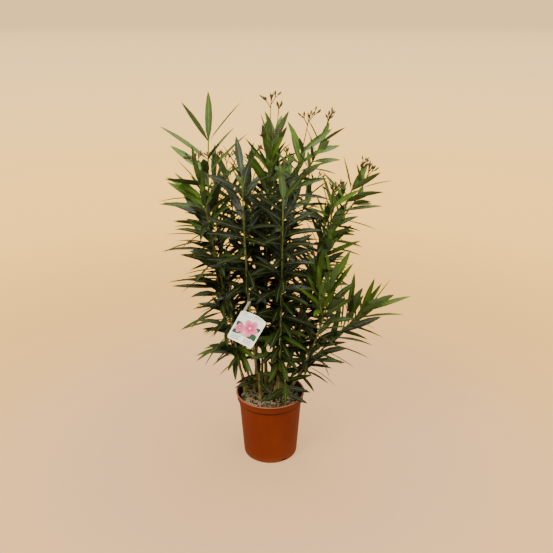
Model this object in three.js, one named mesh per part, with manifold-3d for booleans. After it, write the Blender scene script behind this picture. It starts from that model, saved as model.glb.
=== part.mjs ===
// A potted oleander: a clump of leafy canes that rise from one round nursery pot, with
// flower buds at some tips and a picture label tied to a front cane.
// Millimetres, +Z up. The origin is the centre of the pot's flat underside. The front,
// where the label hangs, faces -Y.

import * as THREE from "three";
import { ConvexGeometry } from "three/addons/geometries/ConvexGeometry.js";
import { mergeVertices } from "three/addons/utils/BufferGeometryUtils.js";
import Module from "manifold-3d";

const wasm = await Module();
wasm.setup();

// Clearance that pieces which touch keep between them
const GAP = 0.3;

// Pot: a tapering wall, a shoulder that flares to an upright band, and a rolled lip
const POT_HEIGHT = 229;
const LIP_RADIUS = 114;
const LIP_HEIGHT = 4;
const BAND_RADIUS = 110;
const BAND_STEP = 4;
const BAND_HEIGHT = 25;
const SHOULDER_RADIUS = 102;
const SHOULDER_DROP = 30;
const FOOT_RADIUS = 90;
const FOOT_INSET = 4;
const FOOT_HEIGHT = 6;
const POT_WALL = 2.2;
const POT_FLOOR = 3;
const POT_SIDES = 30;

// Small steps in the pot's profile
const SHOULDER_SWELL = 2;
const LIP_UNDERCUT = 0.5;
const LIP_FACE = 1;

// Drain slots, cut through the corner between floor and wall, and holes in the floor
const DRAIN_SLOTS = 3;
const DRAIN_WIDTH = 22;
const DRAIN_HEIGHT = 9;
const DRAIN_DEPTH = 4;
const DRAIN_INSET = 1.5;
const DRAIN_TURN = 62;
const DRAIN_HOLES = 4;
const DRAIN_HOLE_RADIUS = 6;
const DRAIN_HOLE_SIDES = 10;
const CUT_HEIGHT = 20;
const DRAIN_RING_RADIUS = 45;

// Compost, level with the middle of the pot's shoulder, where the canes are cut flat
const SOIL_TOP = 203;
const SOIL_EDGE_DIP = 4;
const SOIL_EDGE_WIDTH = 12;

// Canes and their taper
const CANE_SIDES = 6;
const CANE_ROWS = 4;
const TWIG_ROWS = 6;
const FORK_ROWS = 3;
const FOOT_CROWDING = 1.3;
const SPACE_SAMPLES = 16;
const CANE_FOOT_RADIUS = 4.8;
const CANE_TOP_RADIUS = 3.8;
const FLARE_RADIUS = 2;
const FLARE_HEIGHT = 16;
const TWIG_TIP_RADIUS = 1.9;
const SHOOT_FOOT_RADIUS = 2.8;

// Nodes are counted from a twig's tip down and lie further apart near the tip, where the
// shoot is drawn out. Each carries a whorl of leaves; the solids have the whorl at every
// second node.
const FIRST_NODE = 3;
const NODE_SPACING = 40;
const NODE_CROWDING = 0.85;
const USUAL_LEAF = 135;
const NODE_STRIDE = 2;
const BARE_FORK = 14;
const WHORL_LEAVES = 3;
const NODE_TURN = 30;
const WHORL_TWIST = 14;
const LEAF_STRAY = 18;

// A leaf: widest a little below its middle, rolled about its midrib, drooping to its tip.
// Long leaves are slimmer than short ones, because widths go with the root of the length.
// It turns its upper face part of the way to the light, which comes from outside the clump
// and this many degrees above level.
const LEAF_WIDTH_SHARE = 0.16;
const LEAF_THICKNESS_SHARE = 1 / 75;
const LEAF_WIDEST = 0.42;
const LEAF_ROLL = 0.6;
const TURN_TO_LIGHT = 1.1;
const LIGHT_RISE = 30;
const LEAF_SAG = 0.1;
const LEAF_DROOP = 0.4;

// A leaf's angle from its twig, in degrees, grows with its depth below the tip
const TIP_OPENING = 21;
const LEAST_OPENING = 19;
const OPENING_GROWTH = 42;
const LOW_OPENING = 12;
const OPENING_RANGE = 16;
const AGEING_DEPTH = 110;

// Leaves are shorter at the tip, where they are young, and low on the cane
const YOUNG_DEPTH = 60;
const YOUNG_SHORTENING = 0.1;
const LOW_SHORTENING = 0.22;
const LENGTH_RANGE = 0.2;

// A leaf may reach this much past the middle between its own cane and the next. One that
// would touch something else is drawn nearer to its twig, and is left out if that fails.
const INTERLEAVE = 80;
const LEAF_TRIES = 3;
const LEAF_LIFT = 0.74;
const LEAF_CLEARANCE = 0.5;

// Side shoots fork from a cane near its tip
const FORK_DEPTH = 0.17;
const FORK_STEP = 0.12;
const FORK_DEPTH_RANGE = 0.05;
const FORK_TURN = 137;
const FORK_SPREAD = 27;
const FORK_SPREAD_RANGE = 10;
const FORK_RUN = 0.2;
const FORK_RUN_RANGE = 0.08;
const FORK_LEAF = 0.86;
const FORK_LEAFY = 0.75;
const FORK_UPTURN = 0.45;

// Flower buds: a stalk above a tip, with a bud at its end and on each of two arms. The
// stalk of a side shoot is shorter by this share.
const FORK_STALK = 0.75;
const BUD_ARM = 24;
const BUD_ARM_SPREAD = 38;
const BUD_ARM_STEP = 5;
const STALK_SINK = 2;
const BUD_LENGTH = 13;
const BUD_RADIUS = 3;
const STALK_RADIUS = 1.4;

// Label: a card with an arched top that hangs by a strap from a ring round its cane
const CARD_WIDTH = 86;
const CARD_LENGTH = 99;
const CARD_ARCH = 8;
const CARD_THICKNESS = 1;
const CARD_CORNER = 4;
const STRAP_WIDTH = 9;
const STRAP_RISE = 36;
const STRAP_LAP = 14;
const STRAP_INSET = 3;
const STRAP_SINK = 0.9;
const RING_HEIGHT = 7;
const RING_WALL = 1.4;
const RING_SIDES = 14;
const LABEL_CANE = "front_left";
const LABEL_AT = 406;
const LABEL_ROLL = 28;

// Depth of the space in front of the card in which no leaf grows
const LABEL_VIEW = 110;

// The canes. foot is where a cane leaves the compost, tip is its end, and bow is the turn
// in degrees from foot to tip of the arc between them. bare is the length with no leaves
// and leaf the length of the longest leaves. forks counts the side shoots near its tip,
// buds the tips with flower buds, and stalk is the length of their stalks. turn is the way
// its top whorl faces, seed its draw of random numbers, and spread opens its leaves by more
// degrees than the rule does.
const CANES = [
  { name: "left_tall", foot: [-75, 44], tip: [-174, -27, 1064], bow: -24,
    bare: 140, leaf: 174, forks: 0, buds: 0, stalk: 0, turn: 93, seed: 37, spread: 15 },
  { name: "far_left", foot: [-84, 20], tip: [-195, -101, 954], bow: 2,
    bare: 115, leaf: 124, forks: 0, buds: 1, stalk: 84, turn: 90, seed: 73, spread: 4 },
  { name: "left_inner", foot: [-46, 68], tip: [-165, 16, 927], bow: -21,
    bare: 150, leaf: 126, forks: 0, buds: 1, stalk: 84, turn: 70, seed: 42, spread: -6 },
  { name: "mid_left", foot: [-55, 40], tip: [-66, 57, 936], bow: 22,
    bare: 150, leaf: 118, forks: 0, buds: 0, stalk: 0, turn: 10, seed: 81, spread: -4 },
  { name: "centre_tall", foot: [-30, 48], tip: [-1, 55, 1031], bow: 1,
    bare: 150, leaf: 121, forks: 1, buds: 2, stalk: 145, turn: 70, seed: 11, spread: -6 },
  { name: "centre_front", foot: [-16, 28], tip: [2, -118, 1027], bow: 26,
    bare: 150, leaf: 122, forks: 0, buds: 1, stalk: 84, turn: 0, seed: 56, spread: -6 },
  { name: "mid_right", foot: [2, 48], tip: [93, -60, 1040], bow: 12,
    bare: 260, leaf: 118, forks: 1, buds: 2, stalk: 110, turn: 10, seed: 16, spread: 16 },
  { name: "right_inner", foot: [20, 62], tip: [62, 138, 908], bow: -24,
    bare: 130, leaf: 118, forks: 2, buds: 3, stalk: 84, turn: 40, seed: 91, spread: 16 },
  { name: "right_shoulder", foot: [10, 10], tip: [242, -25, 919], bow: 7,
    bare: 150, leaf: 124, forks: 2, buds: 3, stalk: 84, turn: 5, seed: 63, spread: 20 },
  { name: "right_low", foot: [48, 14], tip: [184, -120, 662], bow: -24,
    bare: 110, leaf: 126, forks: 2, buds: 0, stalk: 0, turn: 10, seed: 78, spread: -6 },
  { name: "far_right_low", foot: [60, 32], tip: [301, -48, 542], bow: 17,
    bare: 100, leaf: 153, forks: 2, buds: 0, stalk: 0, turn: 60, seed: 71, spread: -6 },
  { name: "front_left", foot: [-34, 20], tip: [-74, -140, 990], bow: -20,
    bare: 420, leaf: 136, forks: 0, buds: 0, stalk: 0, turn: 110, seed: 61, spread: 14 },
  { name: "front_right", foot: [28, -4], tip: [39, -170, 929], bow: -8,
    bare: 140, leaf: 118, forks: 0, buds: 0, stalk: 0, turn: 10, seed: 56, spread: 14 },
  { name: "right_mid", foot: [30, 20], tip: [180, -72, 815], bow: 1,
    bare: 135, leaf: 128, forks: 0, buds: 0, stalk: 0, turn: 90, seed: 19, spread: -4 },
  { name: "right_back", foot: [42, 56], tip: [190, 116, 815], bow: 3,
    bare: 110, leaf: 125, forks: 0, buds: 1, stalk: 84, turn: 60, seed: 10, spread: 6 },
  { name: "back_left", foot: [-30, 84], tip: [-136, 213, 891], bow: -6,
    bare: 110, leaf: 118, forks: 0, buds: 1, stalk: 84, turn: 80, seed: 2, spread: 9 },
  { name: "back_right", foot: [8, 80], tip: [48, 218, 856], bow: 12,
    bare: 130, leaf: 127, forks: 0, buds: 1, stalk: 84, turn: 60, seed: 16, spread: -1 },
  { name: "back_low", foot: [-12, 92], tip: [-46, 267, 692], bow: 16,
    bare: 100, leaf: 150, forks: 0, buds: 0, stalk: 0, turn: 100, seed: 88, spread: -2 },
  { name: "left_back", foot: [-64, 64], tip: [-205, 71, 854], bow: -2,
    bare: 110, leaf: 141, forks: 0, buds: 0, stalk: 0, turn: 90, seed: 78, spread: 16 },
  { name: "rim_shoot", foot: [50, -60], tip: [48, -87, 315], bow: 2,
    bare: 42, leaf: 95, forks: 0, buds: 0, stalk: 0, turn: 85, seed: 97, spread: 55 },
  { name: "left_shoot", foot: [-34, -14], tip: [-37, -31, 310], bow: 2,
    bare: 52, leaf: 96, forks: 0, buds: 0, stalk: 0, turn: 5, seed: 10, spread: 54 },
];

const UP = new THREE.Vector3(0, 0, 1);
const radians = THREE.MathUtils.degToRad;

const plasticPot = new THREE.MeshStandardMaterial({ color: 0x9a3d12, roughness: 0.5 });
const compost = new THREE.MeshStandardMaterial({ color: 0x5b4a30, roughness: 1 });
const bark = new THREE.MeshStandardMaterial({ color: 0x5a5226, roughness: 0.8 });
const leafGreen = new THREE.MeshStandardMaterial({ color: 0x2f4d1c, roughness: 0.5 });
const card = new THREE.MeshStandardMaterial({ color: 0xe8ece0, roughness: 0.4 });

// A repeatable stream of numbers from 0 to 1 for each seed
function seededRandom(seed) {
  let state = seed | 0;
  return () => {
    state = (state + 0x6d2b79f5) | 0;
    let t = Math.imul(state ^ (state >>> 15), 1 | state);
    t = (t + Math.imul(t ^ (t >>> 7), 61 | t)) ^ t;
    return ((t ^ (t >>> 14)) >>> 0) / 4294967296;
  };
}

// The stream for one node, so that its whorl is the same however many others there are
function nodeRandom(seed, shoot, node) {
  return seededRandom(1 + seed * 7919 + shoot * 1009 + node * 31);
}

// An arc in a vertical plane, of a given length, whose lean from upright changes evenly.
class LeaningArc extends THREE.Curve {
  constructor(origin, bearing, leanFoot, leanTip, run) {
    super();
    this.origin = origin.clone();
    this.heading = new THREE.Vector3(Math.cos(bearing), Math.sin(bearing), 0);
    this.across = new THREE.Vector3().crossVectors(UP, this.heading);
    this.leanFoot = leanFoot;
    this.leanTip = leanTip;
    this.run = run;
  }

  // The unit vector that leans from upright by an angle
  leaning(angle) {
    return this.heading
      .clone()
      .multiplyScalar(Math.sin(angle))
      .addScaledVector(UP, Math.cos(angle));
  }

  getTangent(t, target = new THREE.Vector3()) {
    return target.copy(this.leaning(this.leanFoot + (this.leanTip - this.leanFoot) * t));
  }

  // The chord of an arc points along the arc's middle lean
  getPoint(t, target = new THREE.Vector3()) {
    const halfTurn = ((this.leanTip - this.leanFoot) * t) / 2;
    const shrink = Math.abs(halfTurn) < 1e-6 ? 1 : Math.sin(halfTurn) / halfTurn;
    return target
      .copy(this.origin)
      .addScaledVector(this.leaning(this.leanFoot + halfTurn), this.run * t * shrink);
  }

  // Centre, tangent and the two directions across the arc, at a distance along it
  frame(distance) {
    const t = distance / this.run;
    const along = this.getTangent(t);
    return {
      centre: this.getPoint(t),
      along,
      across: this.across,
      out: new THREE.Vector3().crossVectors(this.across, along),
    };
  }
}

// Joined positions of a geometry as a solid
function solidOf(geometry) {
  const bare = new THREE.BufferGeometry();
  bare.setAttribute("position", geometry.getAttribute("position").clone());
  bare.setIndex(geometry.index);
  const merged = mergeVertices(bare, 1e-3);
  return new wasm.Manifold(
    new wasm.Mesh({
      numProp: 3,
      vertProperties: merged.attributes.position.array,
      triVerts: new Uint32Array(merged.index.array),
    }),
  );
}

function geometryOf(solid) {
  const { vertProperties, triVerts } = solid.getMesh();
  const geometry = new THREE.BufferGeometry();
  geometry.setAttribute("position", new THREE.BufferAttribute(vertProperties, 3));
  geometry.setIndex(new THREE.BufferAttribute(triVerts, 1));
  geometry.computeVertexNormals();
  return geometry;
}

// A closed profile of [radius, height] pairs, turned round the Z axis
function turned(profile, sides) {
  const points = profile.map(([radius, height]) => new THREE.Vector2(radius, height));
  return new THREE.LatheGeometry(points, sides).rotateX(Math.PI / 2);
}

// The pot's outer line from the foot up to the lip, as [radius, height]
function potOutline() {
  const bandFoot = POT_HEIGHT - BAND_HEIGHT;
  const shoulder = bandFoot - SHOULDER_DROP;
  return [
    [FOOT_RADIUS - FOOT_INSET, 0],
    [FOOT_RADIUS - 0.2 * FOOT_INSET, 0.6 * FOOT_HEIGHT],
    [FOOT_RADIUS, FOOT_HEIGHT],
    [SHOULDER_RADIUS, shoulder],
    [SHOULDER_RADIUS + SHOULDER_SWELL, shoulder + 0.35 * SHOULDER_DROP],
    [BAND_RADIUS - BAND_STEP, bandFoot - 1],
    [BAND_RADIUS, bandFoot],
    [BAND_RADIUS + LIP_FACE, POT_HEIGHT - LIP_HEIGHT],
    [LIP_RADIUS - LIP_UNDERCUT, POT_HEIGHT - LIP_HEIGHT + LIP_UNDERCUT],
    [LIP_RADIUS, POT_HEIGHT - LIP_HEIGHT / 2],
    [LIP_RADIUS - LIP_FACE, POT_HEIGHT],
  ];
}

// The pot's inner line from the rim down to the floor
function potLining() {
  const bandFoot = POT_HEIGHT - BAND_HEIGHT;
  return [
    [BAND_RADIUS + LIP_FACE - POT_WALL, POT_HEIGHT],
    [BAND_RADIUS - POT_WALL, POT_HEIGHT - LIP_HEIGHT],
    [BAND_RADIUS - BAND_STEP - POT_WALL, bandFoot - 2],
    [SHOULDER_RADIUS - POT_WALL, bandFoot - SHOULDER_DROP - 2],
    [FOOT_RADIUS - POT_WALL, FOOT_HEIGHT],
    [FOOT_RADIUS - FOOT_INSET, POT_FLOOR],
  ];
}

// Radius of the pot's lining at a height
function liningRadius(height) {
  const line = potLining();
  const below = line.findIndex(([, z]) => z <= height);
  const [r0, z0] = line[below];
  const [r1, z1] = line[below - 1];
  return r0 + ((r1 - r0) * (height - z0)) / (z1 - z0);
}

function potSolid() {
  const profile = [[0, 0], ...potOutline(), ...potLining(), [0, POT_FLOOR]];
  let solid = solidOf(turned(profile, POT_SIDES));
  for (let i = 0; i < DRAIN_SLOTS; i++) {
    const slot = new THREE.BoxGeometry(DRAIN_DEPTH, DRAIN_WIDTH, 2 * DRAIN_HEIGHT);
    slot.translate(FOOT_RADIUS - DRAIN_INSET, 0, 0);
    slot.rotateZ(radians(DRAIN_TURN) + (i / DRAIN_SLOTS) * 2 * Math.PI);
    solid = solid.subtract(solidOf(slot));
  }
  for (let i = 0; i < DRAIN_HOLES; i++) {
    const radius = DRAIN_HOLE_RADIUS;
    const hole = new THREE.CylinderGeometry(radius, radius, CUT_HEIGHT, DRAIN_HOLE_SIDES);
    hole.rotateX(Math.PI / 2).translate(DRAIN_RING_RADIUS, 0, 0);
    hole.rotateZ(((i + 0.5) / DRAIN_HOLES) * 2 * Math.PI);
    solid = solid.subtract(solidOf(hole));
  }
  return solid;
}

// The compost fills the pot to just clear of its lining and dips a little at the edge
function soilSolid() {
  const edge = SOIL_TOP - SOIL_EDGE_DIP;
  const inside = (height) => [liningRadius(height) - 2 * GAP, height];
  const profile = [
    [0, POT_FLOOR + GAP],
    [FOOT_RADIUS - FOOT_INSET - 2, POT_FLOOR + GAP],
    inside(FOOT_HEIGHT),
    inside(POT_HEIGHT - BAND_HEIGHT - SHOULDER_DROP - 2),
    inside(edge),
    [liningRadius(edge) - SOIL_EDGE_WIDTH, SOIL_TOP],
    [0, SOIL_TOP],
  ];
  return solidOf(turned(profile, POT_SIDES));
}

// A tapering limb: a closed cylinder whose rows of corners are moved onto the arc. level
// turns the first row flat, as a cane is cut at the ground.
function limbSolid(arc, from, to, radiusAt, sides, rows, level = false) {
  const geometry = new THREE.CylinderGeometry(1, 1, 1, sides, rows);
  const position = geometry.attributes.position;
  const corner = new THREE.Vector3();
  for (let i = 0; i < position.count; i++) {
    corner.fromBufferAttribute(position, i);
    const share = corner.y + 0.5;
    const distance = from + (to - from) * (level ? share ** FOOT_CROWDING : share);
    const { centre, across, out } = arc.frame(distance);
    const radius = radiusAt(distance);
    const first = level && share < 1e-6;
    centre
      .addScaledVector(across, corner.x * radius)
      .addScaledVector(first ? arc.heading : out, corner.z * radius);
    position.setXYZ(i, centre.x, centre.y, centre.z);
  }
  return solidOf(geometry);
}

// A cane narrows evenly from foot to first leaf and flares just above the compost
function caneRadius(cane, distance) {
  const even = THREE.MathUtils.lerp(CANE_FOOT_RADIUS, CANE_TOP_RADIUS, distance / cane.bare);
  return even + FLARE_RADIUS * Math.exp(-distance / FLARE_HEIGHT);
}

// The corners of a leaf and its faces: two above, which bend along its widest part, and
// two below, which meet in a keel from root to tip
const [ROOT, TIP, LEFT, RIGHT] = [0, 1, 2, 3];
const LEAF_FACES = [
  [ROOT, RIGHT, LEFT],
  [TIP, LEFT, RIGHT],
  [ROOT, LEFT, TIP],
  [ROOT, TIP, RIGHT],
];

// One leaf as a solid. grow adds room on every side, for a clearance test.
function leafSolid(leaf, grow = 0) {
  const { root, middle, tip, side, over, end } = leaf;
  const below = (point) => point.clone().addScaledVector(over, -grow);
  const edge = (hand) =>
    middle
      .clone()
      .addScaledVector(side, hand * (leaf.width / 2 + grow))
      .addScaledVector(over, leaf.thickness + grow);
  const corners = [below(root), below(tip).addScaledVector(end, grow), edge(-1), edge(1)];
  const geometry = new THREE.BufferGeometry().setFromPoints(corners);
  geometry.setIndex(LEAF_FACES.flat());
  return solidOf(geometry);
}

// The way that light comes from: outwards from the pot's axis and up at a slant
function litFrom(point) {
  return new THREE.Vector3(point.x, point.y, 0)
    .normalize()
    .multiplyScalar(Math.cos(radians(LIGHT_RISE)))
    .addScaledVector(UP, Math.sin(radians(LIGHT_RISE)));
}

// Where one leaf grows: below the tip by depth, round the twig by turn. lift draws a leaf
// that has no room nearer to its twig.
function leafAt(twig, depth, turn, draws, lift) {
  const { centre, along, across, out } = twig.arc.frame(twig.arc.run - depth);
  const old = 1 - Math.exp(-depth / AGEING_DEPTH);
  const low = depth / twig.leafy;
  const young = Math.max(0, 1 - depth / YOUNG_DEPTH);
  const opening =
    TIP_OPENING + OPENING_GROWTH * old + LOW_OPENING * low * low + twig.spread +
    OPENING_RANGE * (draws.open - 0.5);
  const open = Math.max(LEAST_OPENING, lift * opening);
  const length =
    twig.leaf * (1 - YOUNG_SHORTENING * young - LOW_SHORTENING * low) *
    (1 + LENGTH_RANGE * (draws.length - 0.5));
  const away = new THREE.Vector3()
    .addScaledVector(across, Math.cos(turn))
    .addScaledVector(out, Math.sin(turn));
  const rise = new THREE.Vector3()
    .addScaledVector(along, Math.cos(radians(open)))
    .addScaledVector(away, Math.sin(radians(open)));
  const side = new THREE.Vector3()
    .crossVectors(away, along)
    .addScaledVector(rise.clone().cross(litFrom(centre)), TURN_TO_LIGHT)
    .normalize()
    .applyAxisAngle(rise, LEAF_ROLL * (draws.roll - 0.5));
  const sag = LEAF_SAG + LEAF_DROOP * old * draws.droop;
  const end = rise.clone().addScaledVector(UP, -sag).normalize();
  const middle = centre.clone().addScaledVector(rise, LEAF_WIDEST * length);
  return {
    root: centre.clone().addScaledVector(rise, -0.3 * twig.radiusAt(twig.arc.run - depth)),
    middle,
    tip: middle.clone().addScaledVector(end, (1 - LEAF_WIDEST) * length),
    end,
    side,
    over: new THREE.Vector3().crossVectors(side, rise),
    width: Math.sqrt(length * USUAL_LEAF) * LEAF_WIDTH_SHARE,
    thickness: length * LEAF_THICKNESS_SHARE,
  };
}

// The arc from a cane's foot to its tip
function caneArc(cane) {
  const foot = new THREE.Vector3(...cane.foot, SOIL_TOP + GAP);
  const chord = new THREE.Vector3(...cane.tip).sub(foot);
  const lean = Math.acos(chord.z / chord.length());
  const half = radians(cane.bow) / 2;
  const run = (chord.length() * half) / Math.sin(half);
  return new LeaningArc(foot, Math.atan2(chord.y, chord.x), lean - half, lean + half, run);
}

// One side shoot, which turns up as it grows
function forkOf(cane, main, i) {
  const random = nodeRandom(cane.seed, 50 + i, 0);
  const depth = FORK_DEPTH + FORK_STEP * i + FORK_DEPTH_RANGE * random();
  const { centre, along, across, out } = main.arc.frame(main.arc.run - main.leafy * depth);
  const turn = radians(FORK_TURN * i + 360 * random());
  const spread = radians(FORK_SPREAD + FORK_SPREAD_RANGE * random());
  const way = new THREE.Vector3()
    .addScaledVector(along, Math.cos(spread))
    .addScaledVector(across, Math.sin(spread) * Math.cos(turn))
    .addScaledVector(out, Math.sin(spread) * Math.sin(turn));
  const lean = Math.acos(way.z);
  const run = main.leafy * (FORK_RUN + FORK_RUN_RANGE * random());
  return {
    arc: new LeaningArc(centre, Math.atan2(way.y, way.x), lean, FORK_UPTURN * lean, run),
    start: 0,
    leafy: run * FORK_LEAFY,
    leaf: cane.leaf * FORK_LEAF,
    spread: cane.spread,
    rows: FORK_ROWS,
    radiusAt: (distance) => THREE.MathUtils.lerp(SHOOT_FOOT_RADIUS, TWIG_TIP_RADIUS, distance / run),
  };
}

// The leafy top of a cane and the side shoots that fork near its tip
function twigsOf(cane) {
  const arc = caneArc(cane);
  const start = cane.bare + GAP;
  const leafy = arc.run - start;
  const main = {
    arc,
    start,
    leafy,
    leaf: cane.leaf,
    spread: cane.spread,
    rows: TWIG_ROWS,
    radiusAt: (distance) =>
      THREE.MathUtils.lerp(CANE_TOP_RADIUS, TWIG_TIP_RADIUS, (distance - start) / leafy),
  };
  return [main, ...Array.from({ length: cane.forks }, (_, i) => forkOf(cane, main, i))];
}

// A bud on its stalk: a three-sided spindle that is widest at the bud. Its root is cut
// square to foot, or comes to a point where foot is 0.
function budSolid(root, way, length, foot) {
  const across = new THREE.Vector3(-way.y, way.x, 0).normalize();
  const over = new THREE.Vector3().crossVectors(way, across);
  const ring = (distance, radius) =>
    [0, 1, 2].map((i) => {
      const turn = (i * 2 * Math.PI) / 3;
      return root
        .clone()
        .addScaledVector(way, distance)
        .addScaledVector(across, radius * Math.cos(turn))
        .addScaledVector(over, radius * Math.sin(turn));
    });
  const bud = ring(length - BUD_LENGTH * 0.6, BUD_RADIUS);
  const base = foot ? ring(0, foot) : [root];
  const tip = root.clone().addScaledVector(way, length);
  return solidOf(new ConvexGeometry([...base, ...bud, tip]));
}

// The flower stalk above a twig's tip. turn is the way its two arms face.
function budSolids(twig, stalk, turn) {
  const { centre, along, across, out } = twig.arc.frame(twig.arc.run - STALK_SINK);
  const aside = across.clone().multiplyScalar(Math.cos(turn)).addScaledVector(out, Math.sin(turn));
  const solids = [budSolid(centre, along, stalk, STALK_RADIUS)];
  for (const hand of [-1, 1]) {
    const spread = radians(hand * BUD_ARM_SPREAD);
    const way = along
      .clone()
      .multiplyScalar(Math.cos(spread))
      .addScaledVector(aside, Math.sin(spread));
    const fork = centre.clone().addScaledVector(along, stalk - BUD_ARM + BUD_ARM_STEP * hand);
    solids.push(budSolid(fork, way, BUD_ARM + BUD_LENGTH, 0));
  }
  return solids;
}

function boxOf(solid) {
  const { min, max } = solid.boundingBox();
  return new THREE.Box3(new THREE.Vector3(...min), new THREE.Vector3(...max));
}

// A solid that others keep clear of, with the mass and whorl that it belongs to
function obstacle(solid, mass = "", whorl = "") {
  return { solid, box: boxOf(solid), mass, whorl };
}

function touches(solid, obstacles, spared) {
  const box = boxOf(solid);
  return obstacles.some(
    (other) => !spared(other) && box.intersectsBox(other.box) && !solid.intersect(other.solid).isEmpty(),
  );
}

function nearest(point, samples) {
  return samples.reduce((least, sample) => Math.min(least, point.distanceTo(sample)), Infinity);
}

// The card's outline, from its lower edge up to its arched top
function cardShape() {
  const half = CARD_WIDTH / 2;
  const shape = new THREE.Shape();
  shape.moveTo(-half + CARD_CORNER, 0);
  shape.lineTo(half - CARD_CORNER, 0);
  shape.quadraticCurveTo(half, 0, half, CARD_CORNER);
  shape.lineTo(half, CARD_LENGTH);
  shape.quadraticCurveTo(0, CARD_LENGTH + 2 * CARD_ARCH, -half, CARD_LENGTH);
  shape.lineTo(-half, CARD_CORNER);
  shape.quadraticCurveTo(-half, 0, -half + CARD_CORNER, 0);
  return shape;
}

// The card, or the clear space in front of it, by its depth. Its face is at y = front.
function cardSolid(front, depth) {
  const sheet = { depth, bevelEnabled: false, curveSegments: 6 };
  const flat = new THREE.ExtrudeGeometry(cardShape(), sheet).rotateX(Math.PI / 2);
  flat.translate(CARD_WIDTH / 2 - STRAP_WIDTH / 2 - STRAP_INSET, front, -STRAP_RISE - CARD_LENGTH);
  return solidOf(flat.rotateY(radians(LABEL_ROLL)));
}

// The label hangs from a ring that clears its cane, with its face to -Y. The strap rises
// beside the card's left edge, and card and strap are rolled about the ring's centre. The
// clear space in front of the card comes with it.
function labelSolids(cane, arc) {
  const { centre, along } = arc.frame(LABEL_AT);
  const bore = caneRadius(cane, LABEL_AT) + 2 * GAP;
  const reach = bore + RING_WALL;
  const wall = [
    [reach, -RING_HEIGHT / 2],
    [reach, RING_HEIGHT / 2],
    [bore, RING_HEIGHT / 2],
    [bore, -RING_HEIGHT / 2],
    [reach, -RING_HEIGHT / 2],
  ];
  const ring = turned(wall, RING_SIDES);
  ring.applyQuaternion(new THREE.Quaternion().setFromUnitVectors(UP, along));
  const front = STRAP_SINK - reach;
  const strap = new THREE.BoxGeometry(STRAP_WIDTH, CARD_THICKNESS, STRAP_RISE + STRAP_LAP);
  strap.translate(0, front - CARD_THICKNESS / 2, (RING_HEIGHT - STRAP_RISE - STRAP_LAP) / 2);
  strap.rotateY(radians(LABEL_ROLL));
  const hung = solidOf(ring).add(solidOf(strap)).add(cardSolid(front, CARD_THICKNESS));
  return [hung, cardSolid(front, LABEL_VIEW)].map((solid) => solid.translate(centre.toArray()));
}

const part = new THREE.Group();

function addMesh(name, solid, material, at = new THREE.Vector3()) {
  const mesh = new THREE.Mesh(geometryOf(solid).translate(-at.x, -at.y, -at.z), material);
  mesh.name = name;
  mesh.position.copy(at);
  part.add(mesh);
}

const pot = potSolid();
const soil = soilSolid();
addMesh("pot", pot, plasticPot);
addMesh("soil", soil, compost);

// Each cane's twigs and the solids that they always have, whatever leaves find room
const plants = CANES.map((cane) => {
  const twigs = twigsOf(cane);
  const radius = (distance) => caneRadius(cane, distance);
  const stem = (twig) =>
    limbSolid(twig.arc, twig.start, twig.arc.run, twig.radiusAt, 3, twig.rows);
  return {
    cane,
    twigs,
    limb: limbSolid(twigs[0].arc, 0, cane.bare, radius, CANE_SIDES, CANE_ROWS, true),
    stems: twigs.map(stem),
    buds: twigs
      .slice(0, cane.buds)
      .flatMap((twig, i) =>
        budSolids(twig, i ? FORK_STALK * cane.stalk : cane.stalk, radians(cane.turn)),
      ),
    samples: twigs.flatMap(({ arc, start }) =>
      Array.from({ length: SPACE_SAMPLES }, (_, i) => {
        const share = i / (SPACE_SAMPLES - 1);
        return arc.getPoint(THREE.MathUtils.lerp(start / arc.run, 1, share));
      }),
    ),
  };
});

const tagged = plants.find(({ cane }) => cane.name === LABEL_CANE);
const [label, labelView] = labelSolids(tagged.cane, tagged.twigs[0].arc);
addMesh("label", label, card);

const obstacles = [pot, soil, label, labelView].map((solid) => obstacle(solid));
for (const { cane, limb, stems, buds } of plants) {
  obstacles.push(obstacle(limb, cane.name, "limb"));
  stems.forEach((stem, shoot) => obstacles.push(obstacle(stem, cane.name, "stem" + shoot)));
  buds.forEach((bud) => obstacles.push(obstacle(bud, cane.name, "bud")));
}

// The leaf for one place in a whorl, or nothing where none has room. Leaves of one whorl
// share their node and may meet there, and on the stem they grow from.
function fittingLeaf(plant, shoot, node, depth, turn, draws, others) {
  const mass = plant.cane.name;
  const whorl = shoot + "/" + node;
  const spared = (other) =>
    other.mass === mass && (other.whorl === "stem" + shoot || other.whorl === whorl);
  const inside = (point) => nearest(point, plant.samples) < nearest(point, others) + INTERLEAVE;
  const free = (solid) => !touches(solid, obstacles, spared);
  for (let attempt = 0; attempt < LEAF_TRIES; attempt++) {
    const leaf = leafAt(plant.twigs[shoot], depth, turn, draws, LEAF_LIFT ** attempt);
    const solid = leafSolid(leaf);
    const roomy = leafSolid(leaf, LEAF_CLEARANCE);
    if (inside(leaf.middle) && inside(leaf.tip) && free(roomy) && free(solid)) {
      obstacles.push(obstacle(solid, mass, whorl));
      return [solid];
    }
  }
  return [];
}

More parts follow.
